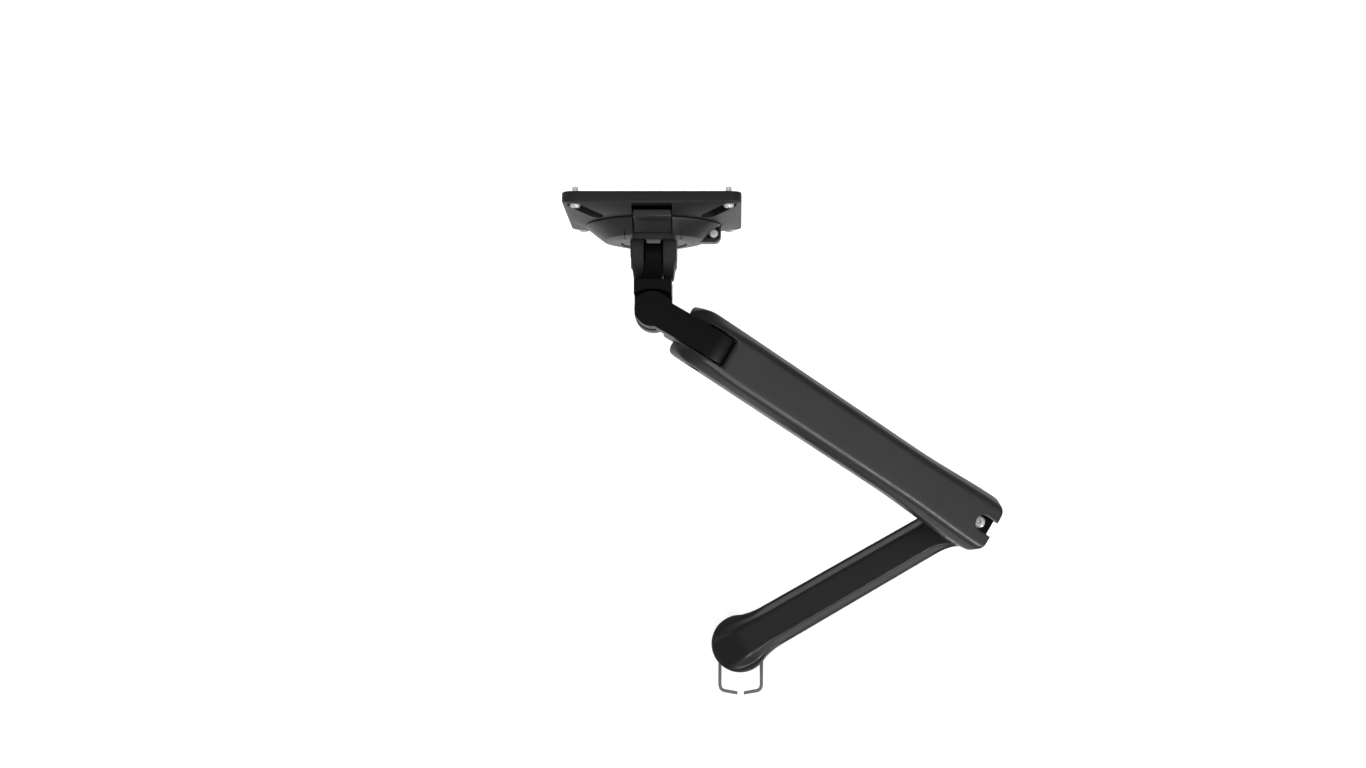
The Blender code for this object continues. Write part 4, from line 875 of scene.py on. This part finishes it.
for side, label in ((1, "left"), (-1, "right")):
    prof = [(0, 9.0), (2.7, 9.0), (3.0, 9.3), (3.0, 19.5), (5.0, 19.5), (5.0, 20.6), (4.5, 21.1), (0, 21.1)]
    socket = prism(hexagon(1.9), *sorted((side * 19.9, side * 24)), "y")
    put(shape(f"rear_pivot_{label}", lathe([(r, side * h) for r, h in prof], 64, "y", soft=0.25), ("-", socket)), F_UPPER, ZINC,
        f"rear_pivot_{label}")
    spacer = [(r, side * h) for r, h in tube(3.4, 5.2, 12.9, 15.6)]
    put(shape(f"rear_spacer_{label}", lathe(spacer, 64, "y", soft=0.2)), F_UPPER, NYLON, f"rear_spacer_{label}")
    prof = [(0, 9.0), (2.7, 9.0), (3.0, 9.3), (3.0, 15.0), (2.7, 15.3), (0, 15.3)]
    put(shape(f"lower_pivot_{label}", lathe([(r, side * h) for r, h in prof], 64, "y", soft=0.15),
              ("-", prism(hexagon(1.5), *sorted((side * 13.6, side * 18)), "y"))), F_PARALLEL, ZINC, f"lower_pivot_{label}")

put(shape("front_pivot_pin", lathe([(0, -17.2), (1.6, -17.2), (2.2, -17.7), (4.5, -17.7), (5.0, -17.2), (5.0, -16.7), (3.0, -16.7),
                                    (3.0, 16.7), (5.0, 16.7), (5.0, 17.2), (4.5, 17.7), (2.2, 17.7), (1.6, 17.2), (0, 17.2)], 64, "y",
                                   (UPPER_ARM_LENGTH, 0, 0), soft=0.15)), F_UPPER, ZINC, "front_pivot_pin")

link_side = [(-6.5, 5.0), (-8.0, 1.0), (-8.0, -1.5), (-5.5, -5.0), (266.5, -5.0), (269.0, -1.5), (269.0, 1.0), (267.5, 5.0)]
put(shape("lower_link", prism(link_side, -15.5, 15.5, "y", soft=0.9, corner=2.0, seg=4),
          ("-", box(26.0, 238.0, -13.3, 13.3, -3.0, 20.0)),
          ("-", box(-40.0, 27.0, -13.3, 13.3, -20.0, 20.0)),
          ("-", box(237.0, 300.0, -13.3, 13.3, -20.0, 20.0)),
          ("-", mouth(rounded_rect(120.0, 150.0, -7.0, 7.0, 4.0), 0, -5.0, down=True)),
          *[("-", mouth(capsule(x0, 0, x0 + 26.0, 0, 2.2), -4.1, -5.0, down=True, flare=0.3)) for x0 in (58.0, 186.0)],
          *[("-", lathe([(0, -30), (3.3, -30), (3.3, 30), (0, 30)], 48, "y", (x, 0, 0), soft=0)) for x in (0.0, UPPER_ARM_LENGTH)]),
    F_PARALLEL, ARM_BLACK, "lower_link")
put(shape("link_front_pin", lathe([(0, -15.3), (2.6, -15.3), (3.0, -14.9), (3.0, 14.9), (2.6, 15.3), (0, 15.3)], 64, "y",
                                  (UPPER_ARM_LENGTH, 0, 0), soft=0.15)), F_PARALLEL, ZINC, "link_front_pin")

CYL_R, MOUTH = 8.5, -118.0
put(shape("gas_cylinder", lathe([(5.0, MOUTH), (CYL_R - 0.6, MOUTH), (CYL_R, MOUTH + 0.6), (CYL_R, MOUTH + 5.0),
                                 (CYL_R - 0.4, MOUTH + 5.6), (CYL_R - 0.4, MOUTH + 7.0), (CYL_R, MOUTH + 7.6), (CYL_R, -13.0),
                                 (CYL_R - 1.0, -12.0), (5.0, -10.5), (5.0, -16.5), (7.2, -16.5), (7.2, MOUTH + 4.0), (5.0, MOUTH + 4.0)],
                                96, "x", soft=0.2)), F_CYL, BLACK_OXIDE, "gas_cylinder")
put(shape("gas_cylinder_eye", lathe([(0, -5.0), (5.5, -5.0), (6.0, -4.5), (6.0, 4.5), (5.5, 5.0), (0, 5.0)], 72, "y", soft=0.2),
          ("+", lathe(bar(4.6, -16.8, -2.0), 64, "x", soft=0.2)),
          ("-", lathe([(0, -20), (3.3, -20), (3.3, 20), (0, 20)], 48, "y", soft=0))), F_CYL, BLACK_OXIDE, "gas_cylinder_eye")
SPRING_X, SPRING_Z = 205.0, -3.0
put(shape("spring_front_pin", lathe([(0, -15.7), (2.6, -15.7), (3.0, -15.3), (3.0, 15.3), (2.6, 15.7), (0, 15.7)], 64, "y",
                                    (SPRING_X, 0, SPRING_Z), soft=0.15)), F_UPPER, ZINC, "spring_front_pin")
fork = arc(0, 0, 3.4, 90, 270, 24) + [(12.0, -3.4), (14.0, -2.4), (14.0, 2.4), (12.0, 3.4)]
put(shape("gas_rod", prism(fork, -7.8, 7.8, "y", soft=0.4),
          ("-", box(-10, 7.6, -5.0, 5.0, -6.0, 6.0)),
          ("-", lathe([(0, -10), (2.8, -10), (2.8, 10), (0, 10)], 48, "y", soft=0)),
          ("+", lathe(bar(3.5, 9.5, 123.0), 72, "x", soft=0.3))), F_ROD, ZINC, "gas_rod")
put(shape("gas_piston", lathe([(0, 123.3), (5.0, 123.3), (5.4, 123.7), (5.4, 126.0), (4.9, 126.3), (4.9, 128.0), (5.4, 128.3), (5.4, 130.6),
                               (5.0, 131.0), (0, 131.0)], 72, "x", soft=0.15)), F_ROD, NYLON, "gas_piston")

# ---------------------------------------------------------------- head link
link_profile = arc(0, 0, LINK_BARREL_R, 90, 246, 64) + arc(0, -PARALLEL_OFFSET, 7.0, 180, 360, 24) + \
    [(8.0, -18.0), (27.0, -18.0), (28.2, -16.8), (28.2, 0.6), (41.0, 0.6), (41.0, 18.0)]
put(shape("head_link", prism(link_profile, -LINK_HALF_WIDTH, LINK_HALF_WIDTH, "y", soft=0.75, seg=4),
          ("*", prism(rounded_rect(-LINK_BARREL_R, 60.0, -LINK_HALF_WIDTH, LINK_HALF_WIDTH, 2.8, 12), -40.0, 40.0)),
          ("+", lathe([(0, 0.6), (PAN_HUB_R, 0.6), (PAN_HUB_R, 17.4), (PAN_HUB_R - 0.6, 18.0), (0, 18.0)], 128,
                      at=(HEAD_LINK_LENGTH, 0, 0), soft=0.5)),
          ("-", lathe([(0, -20), (3.3, -20), (3.3, 20), (0, 20)], 48, "y", soft=0)),
          ("-", lathe([(0, -20), (3.3, -20), (3.3, 20), (0, 20)], 48, "y", (0, 0, -PARALLEL_OFFSET), soft=0)),
          ("-", lathe([(0, -5), (5.3, -5), (5.3, 14), (0, 14)], 64, at=(HEAD_LINK_LENGTH, 0, 0), soft=0)),
          ("-", prism(capsule(11.5, -9.6, 19.5, -9.6, 2.4), -20, -LINK_HALF_WIDTH + 1.6, "y")),
          ("-", prism(capsule(11.5, -9.6, 19.5, -9.6, 2.4), LINK_HALF_WIDTH - 1.6, 20, "y"))),
    F_HEAD, DEEP_BLACK, "head_link")

# ---------------------------------------------------------------- pan block
HUB_LOW = TIP.z * 1000 + 0.6
TILT_Z = TILT.z * 1000
BLOCK_BOTTOM, BLOCK_TOP = HUB_LOW - 17.6, HUB_LOW + 12.2
tongue = [(14.0, BLOCK_BOTTOM + 1.0), (TILT_OFFSET, TILT_Z - 13.6)] + \
    [(TILT_OFFSET + y, TILT_Z + z) for y, z in arc(0, 0, 13.6, -75, 90, 48)] + [(22.0, TILT_Z + 15.4), (14.0, BLOCK_TOP - 4.0)]
put(shape("pan_block", prism(arc(0, 0, 12.5, 180, 360, 72) + [(12.5, 12.0), (-12.5, 12.0)], BLOCK_BOTTOM, HUB_LOW - 0.7, soft=0.6),
          ("+", prism([(-12.5, 9.8), (12.5, 9.8), (12.5, 20.6), (-12.5, 20.6)], BLOCK_BOTTOM, BLOCK_TOP, soft=0.8, corner=1.0, seg=4)),
          ("+", prism(tongue, -5.9, 5.9, "x", soft=1.3, seg=4)),
          ("-", lathe([(0, HUB_LOW - 0.7), (12.7, HUB_LOW - 0.7), (12.7, BLOCK_TOP - 0.5), (13.3, BLOCK_TOP + 0.1), (13.3, 420), (0, 420)],
                      128, soft=0)),
          ("-", lathe([(0, HUB_LOW + 3.0), (25.7, HUB_LOW + 3.0), (25.7, BLOCK_TOP - 0.5), (26.3, BLOCK_TOP + 0.1), (26.3, 420), (0, 420)],
                      192, at=(0, -12.4, 0), soft=0)),
          ("-", lathe([(0, 300), (4.3, 300), (4.3, 400), (0, 400)], 64, soft=0)),
          ("-", lathe([(0, -20), (5.7, -20), (5.7, 20), (0, 20)], 64, "x", (0, TILT_OFFSET, TILT_Z), soft=0))),
    F_PAN, DEEP_BLACK, "pan_block")
put(shape("tilt_bush", lathe(tube(4.3, 5.3, -5.9, 5.9), 72, "x", (0, TILT_OFFSET, TILT_Z), soft=0.2)), F_PAN, NYLON, "tilt_bush")
put(shape("pan_bolt", lathe([(0, BLOCK_BOTTOM - 4.6), (6.2, BLOCK_BOTTOM - 4.6), (6.8, BLOCK_BOTTOM - 4.0), (6.8, BLOCK_BOTTOM - 0.3),
                             (4.0, BLOCK_BOTTOM - 0.3), (4.0, HUB_LOW + 12.8), (0, HUB_LOW + 12.8)], 72, soft=0.3),
          ("-", prism(hexagon(2.9), BLOCK_BOTTOM - 8, BLOCK_BOTTOM - 2.0))), F_PAN, ZINC, "pan_bolt")
put(shape("pan_bush", lathe(tube(4.3, 5.0, HUB_LOW + 0.2, HUB_LOW + 12.8), 72, soft=0.15)), F_PAN, NYLON, "pan_bush")

# ---------------------------------------------------------------- clevis and turntable
RIM = 10.1


def cheek(side):
    """One drafted cheek: it narrows towards its round end."""
    outline = arc(0, 0, CHEEK_R, 90, 270, 64) + [(RIM + 7.0, -CHEEK_R), (RIM + 7.0, CHEEK_R)]
    lo, hi = sorted((side * CHEEK_INNER, side * CHEEK_OUTER))
    bm = prism(outline, lo, hi, "x", soft=1.0, seg=4)
    bmesh.ops.bisect_plane(bm, geom=bm.verts[:] + bm.edges[:] + bm.faces[:], plane_co=(0, 3, 0), plane_no=(0, 1, 0))
    for v in bm.verts:
        if abs(v.co.x) > CHEEK_INNER + 1.2:
            s = smooth((3.0 - v.co.y) / 17.0)
            v.co.x -= side * 1.9 * s * (abs(v.co.x) - CHEEK_INNER) / (CHEEK_OUTER - CHEEK_INNER)
    return bm


put(shape("tilt_clevis", cheek(1), ("+", cheek(-1)),
          ("+", lathe([(0, RIM + 0.5), (21.3, RIM + 0.5), (21.3, RIM + 12.0), (0, RIM + 12.0)], 128, "y", soft=0.5)),
          ("-", box(-CHEEK_INNER, CHEEK_INNER, -30.0, RIM + 4.4, -40.0, 40.0)),
          ("-", lathe([(0, -30), (4.3, -30), (4.3, 30), (0, 30)], 64, "x", soft=0)),
          *[("-", lathe([(0, s * 12.6), (8.0, s * 12.6), (8.0, s * 14.6), (8.6, s * 15.5), (8.6, s * 30), (0, s * 30)], 96, "x", soft=0))
            for s in (1, -1)]), F_TILT, HEAD_GREY, "tilt_clevis")
put(shape("tilt_bolt", lathe([(0, -13.6), (3.9, -13.6), (3.9, 12.9), (7.2, 12.9), (7.2, 14.6), (6.4, 15.3), (0, 15.3)], 96, "x", soft=0.3),
          ("-", prism(hexagon(3.1), 13.3, 20, "x"))), F_TILT, BLACK_OXIDE, "tilt_bolt")
nut, *cuts = hex_nut(6.9, -15.3, -12.9, 4.2, "x", chamfer=0.6)
put(shape("tilt_lock_nut", nut, *cuts), F_TILT, BLACK_OXIDE, "tilt_lock_nut")

# ---------------------------------------------------------------- quick-release disc
Y0 = PLATE_BACK - 7.4
lug = [(26.0, Y0), (26.0, RIM + 1.0), (41.0, RIM + 1.0), (43.0, RIM + 1.8), (44.4, RIM + 3.6), (44.8, RIM + 5.6), (44.8, Y0)]
LOCK = (39.9, RIM + 6.6, 0.0)
pocket_plan = [(34.4, 13.7), (43.1, 13.7), (43.1, 21.0)]
put(shape("quick_release_disc", lathe([(21.9, RIM), (26.0, RIM), (33.6, RIM + 1.8), (44.1, RIM + 10.0),
                                       (DISC_R, RIM + 11.2), (DISC_R, Y0), (21.9, Y0)], 192, "y", soft=0.35),
          ("-", box(-13.2, 13.2, RIM - 2.0, RIM + 16.5, 25.2, 60.0)),
          ("+", prism(fillet(lug, [0, 0.6, 2.5, 2, 2, 2, 0], 6), -7.0, 4.0, soft=0.6)),
          ("-", prism([(32.4, 11.8), (44.3, 21.6), (60.0, 21.6), (60.0, -5.0), (32.4, -5.0)], 4.0, 60.0)),
          ("-", prism(fillet(pocket_plan, 0.7, 5), -0.6, 16.0)),
          ("-", lathe([(0, -4.4), (2.3, -4.4), (2.3, 10.0), (0, 10.0)], 48, at=LOCK, soft=0)),
          *[("-", box(s * 18.6 - 0.2, s * 18.6 + 0.2, RIM - 3.0, RIM + 4.6, 20.0, 60.0)) for s in (-1, 1)]),
    F_TILT, HEAD_GREY, "quick_release_disc", angle=15)
put(shape("tilt_stop_plate", prism([(-5.2, RIM + 4.1), (-4.6, RIM - 1.4), (4.6, RIM - 1.4), (5.2, RIM + 4.1)], 12.5, 15.0, soft=0.4,
                                   corner=0.6)), F_TILT, CLIP_GREY, "tilt_stop_plate")
put(shape("turntable_retainer", lathe([(0, RIM + 12.4), (24.0, RIM + 12.4), (24.0, RIM + 15.6), (16.0, RIM + 15.6), (15.5, RIM + 15.1),
                                       (0, RIM + 15.1)], 96, "y", soft=0.3)), F_TILT, BLACK_OXIDE, "turntable_retainer")
put(shape("lock_screw", lathe([(0, -3.6), (1.8, -3.6), (1.8, 4.4), (2.9, 4.4), (2.9, 5.5), (2.5, 6.2), (1.9, 6.5), (0, 6.5)], 72, at=LOCK,
                              soft=0.2),
          ("-", prism([(LOCK[0] + x, LOCK[1] + y) for x, y in hexagon(1.25)], 5.0, 8.0))), F_TILT, BRIGHT, "lock_screw")

paddle = [(-10.2, -8.0), (-9.2, -9.2), (-5.4, -8.6), (-1.8, -3.0), (1.9, -2.4), (2.2, 3.0), (2.0, 10.6), (1.2, 11.4), (-1.8, 11.4),
          (-2.7, 10.6), (-3.3, 7.6), (-4.6, 3.2), (-6.8, -1.4)]
put(shape("latch_paddle", prism(fillet(paddle, [0.6, 0.6, 2, 2, 0.6, 2, 0.8, 0.6, 0.8, 1.5, 3, 4, 4], 5, least=4.0), -12.6, 12.6, "x", soft=0.7,
                                seg=4),
          ("-", lathe([(0, -20), (1.4, -20), (1.4, 20), (0, 20)], 48, "x", soft=0)),
          ("-", box(-3.4, 3.4, -2.6, 4.0, -4.0, 2.5)),
          *[("-", lathe([(0, -8.5), (0.45, -8.5), (0.45, 8.5), (0, 8.5)], 24, "x", (0, -3.05 - 0.28 * k, 9.4 - 1.7 * k), soft=0))
            for k in range(4)]), F_LATCH, LATCH_GREY, "latch_paddle")
put(shape("latch_pin", lathe([(0, -12.9), (0.8, -12.9), (1.0, -12.7), (1.0, 12.7), (0.8, 12.9), (0, 12.9)], 48, "x", soft=0.05)), F_LATCH, ZINC,
    "latch_pin")


def coil(r, wire, x0, x1, turns, n=48, m=12):
    """Closed helical wire about x."""
    bm = bmesh.new()
    count = int(turns * n)
    rings = []
    for i in range(count + 1):
        t = i / count
        a = 2 * math.pi * turns * t
        x = x0 + (x1 - x0) * t
        centre = Vector((x, r * math.cos(a), r * math.sin(a)))
        out = Vector((0, math.cos(a), math.sin(a)))
        rings.append([bm.verts.new(centre + out * wire * math.cos(2 * math.pi * k / m) + Vector((1, 0, 0)) * wire * math.sin(2 * math.pi * k / m))
                      for k in range(m)])
    for a, b in zip(rings, rings[1:]):
        for k in range(m):
            j = (k + 1) % m
            bm.faces.new((a[k], a[j], b[j], b[k]))
    bm.faces.new(rings[0])
    bm.faces.new(rings[-1])
    return bm


put(shape("latch_spring", coil(1.65, 0.33, -2.45, 2.45, 6)), F_LATCH, ZINC, "latch_spring", angle=60)

# ---------------------------------------------------------------- VESA plate
def plate_ring(blend, y, shrink=0.0, n=192):
    """Square outline (blend 0) that turns into the disc's circle (blend 1)."""
    ring = []
    half, corner = PLATE_SIZE / 2 - shrink, 6.0
    for k in range(n):
        c, s = math.cos(2 * math.pi * (k + 0.5) / n), math.sin(2 * math.pi * (k + 0.5) / n)
        x, z = half * c / max(abs(c), abs(s)), half * s / max(abs(c), abs(s))
        dx, dz = abs(x) - (half - corner), abs(z) - (half - corner)
        if dx > 0 and dz > 0:
            d = math.hypot(dx, dz)
            x = math.copysign(half - corner + corner * dx / d, x)
            z = math.copysign(half - corner + corner * dz / d, z)
        ring.append((x + (45.2 * c - x) * blend, y, z + (45.2 * s - z) * blend))
    return ring


rolled = [(1.0 - math.sin(math.radians(a)), 1.0 - math.cos(math.radians(a))) for a in (0, 18, 36, 54, 72, 90)]
front = PLATE_BACK + PLATE_THICKNESS
rings = [plate_ring(0, front - h, d) for d, h in rolled]
rings += [plate_ring(0, PLATE_BACK + 0.9), plate_ring(0, PLATE_BACK + 0.45, 0.06), plate_ring(0, PLATE_BACK + 0.1, 0.3)]
rings += [plate_ring(t, PLATE_BACK - 0.15 - 6.95 * (1.22 * t - 0.22 * t * t), 0.6 * (1 - t)) for t in (0.02, 0.1, 0.2, 0.3, 0.4, 0.5, 0.6, 0.7, 0.8, 0.9, 1.0)]
bm = loft(rings)
bmesh.ops.triangulate(bm, faces=[f for f in bm.faces if len(f.verts) == 4])
plate_cuts = [("-", lathe([(0, PLATE_BACK - 12), (24.6, PLATE_BACK - 12), (24.6, PLATE_BACK - 3.3), (0, PLATE_BACK - 3.3)], 96, "y", soft=0)),
              ("-", prism(rounded_rect(-13.2, 13.2, 22.0, 57.7, 2.5), PLATE_BACK - 12, PLATE_BACK - 0.8, "y"))]
for sx in (1, -1):
    for sz in (1, -1):
        plate_cuts.append(("-", prism(capsule(sx * 37.5, sz * 37.5, sx * 50.0, sz * 50.0, 5.4, 28), PLATE_BACK - 15, PLATE_BACK + 0.1, "y")))
        plate_cuts.append(("-", prism(capsule(sx * 36.9, sz * 36.9, sx * 50.3, sz * 50.3, 3.0, 20), PLATE_BACK - 5, PLATE_BACK + 20, "y")))
put(shape("vesa_plate", bm, *plate_cuts), F_TILT, PLATE_BLACK, "vesa_plate", angle=30)
for sx in (1, -1):
    for sz in (1, -1):
        key = ("r" if sx > 0 else "l") + ("t" if sz > 0 else "b")
        at = (sx * VESA_HALF, 0, sz * VESA_HALF)
        head = [(0, PLATE_BACK - 3.0), (1.3, PLATE_BACK - 3.0), (2.5, PLATE_BACK - 2.7), (3.3, PLATE_BACK - 1.9), (3.7, PLATE_BACK - 0.4),
                (2.0, PLATE_BACK - 0.4), (2.0, front + 3.4), (1.4, front + 4.0), (0, front + 4.0)]
        cross = [("-", box(at[0] - a, at[0] + a, PLATE_BACK - 4, PLATE_BACK - 1.8, at[2] - b, at[2] + b)) for a, b in ((2.1, 0.42), (0.42, 2.1))]
        put(shape(f"vesa_screw_{key}", lathe(head, 72, "y", at, soft=0.25), *cross), F_TILT, BRIGHT, f"vesa_screw_{key}")

# ---------------------------------------------------------------- floor, light, camera
LOW = CAD_LO.z - 0.0005
bm = bmesh.new()
bmesh.ops.create_grid(bm, x_segments=8, y_segments=8, size=6.0)
for v in bm.verts:
    v.co.z = LOW
mesh = bpy.data.meshes.new("floor")
bm.to_mesh(mesh)
bm.free()
floor = bpy.data.objects.new("floor", mesh)
SCENE.objects.link(floor)
n = Nodes("pale_floor")
n.shader.inputs["Specular IOR Level"].default_value = 0.2
n.link(n.ramp(n.noise(0.004, 3.0), (0.3, (0.905, 0.905, 0.905)), (0.7, (0.925, 0.925, 0.925))), n.shader.inputs["Base Color"])
n.link(n.remap(n.noise(0.05, 3.0), 0.3, 0.7, 0.75, 0.9), n.shader.inputs["Roughness"])
floor.data.materials.append(n.mat)
floor.visible_glossy = False


def lamp(name, at, aim, size, power, size_y=None, gloss=True):
    data = bpy.data.lights.new(name, "AREA")
    data.shape = "RECTANGLE"
    data.size, data.size_y = size, size_y or size
    data.energy = power
    obj = bpy.data.objects.new(name, data)
    obj.location = at
    obj.rotation_euler = (Vector(aim) - Vector(at)).to_track_quat("-Z", "Y").to_euler()
    obj.visible_camera = False
    obj.visible_glossy = gloss
    SCENE.objects.link(obj)
    return obj


lamp("overhead_fill", (0.0, 0.1, 2.6), (0, 0.1, 0), 3.0, 132.0, gloss=False)
lamp("overhead_sheen", (0.0, 0.2, 2.9), (0, 0.15, 0), 2.4, 2.0)
lamp("strip_right", (1.45, -0.72, 1.25), (0.0, 0.15, 0.3), 0.30, 2.4, size_y=1.2)
lamp("front_box", (0.55, -2.1, 1.0), (0.0, 0.15, 0.3), 0.6, 14.0)
lamp("left_box", (-2.3, 0.5, 0.9), (0.0, 0.1, 0.25), 1.0, 2.2)
lamp("right_low", (1.35, -1.25, 0.62), (0.0, 0.15, 0.33), 0.40, 12.0)

world = bpy.data.worlds.new("studio")
bpy.context.scene.world = world
world.use_nodes = True
tree = world.node_tree
background = tree.nodes["Background"]
way = tree.nodes.new("ShaderNodeTexCoord")
split = tree.nodes.new("ShaderNodeSeparateXYZ")
ramp = tree.nodes.new("ShaderNodeValToRGB")
height = tree.nodes.new("ShaderNodeMapRange")
for i, v in enumerate((-1.0, 1.0, 0.0, 1.0)):
    height.inputs[i + 1].default_value = v
tree.links.new(way.outputs["Generated"], split.inputs[0])
tree.links.new(split.outputs["Z"], height.inputs[0])
tree.links.new(height.outputs[0], ramp.inputs["Fac"])
tree.links.new(ramp.outputs["Color"], background.inputs["Color"])
elements = ramp.color_ramp.elements
elements[0].position, elements[0].color = 0.0, (0.85, 0.85, 0.85, 1)
elements[1].position, elements[1].color = 1.0, (0.10, 0.10, 0.10, 1)
for at, level in ((0.10, 0.75), (0.26, 0.30), (0.45, 0.22), (0.52, 0.20), (0.62, 0.2), (0.76, 0.12), (0.88, 0.05)):
    e = elements.new(at)
    e.color = (level, level, level, 1)
background.inputs["Strength"].default_value = 1.0

cam_data = bpy.data.cameras.new("camera")
cam_data.sensor_width = 36.0
cam_data.lens = 68.664
cam = bpy.data.objects.new("camera", cam_data)
SCENE.objects.link(cam)
cam.location = (-0.00243421, -0.00061936, 2.07266043)
cam.rotation_euler = (0.09961, 0.02055, 0.0034)
cam_data.clip_end = 50.0
bpy.context.scene.camera = cam
bpy.context.scene.view_settings.view_transform = "Standard"
bpy.context.scene.view_settings.look = "None"
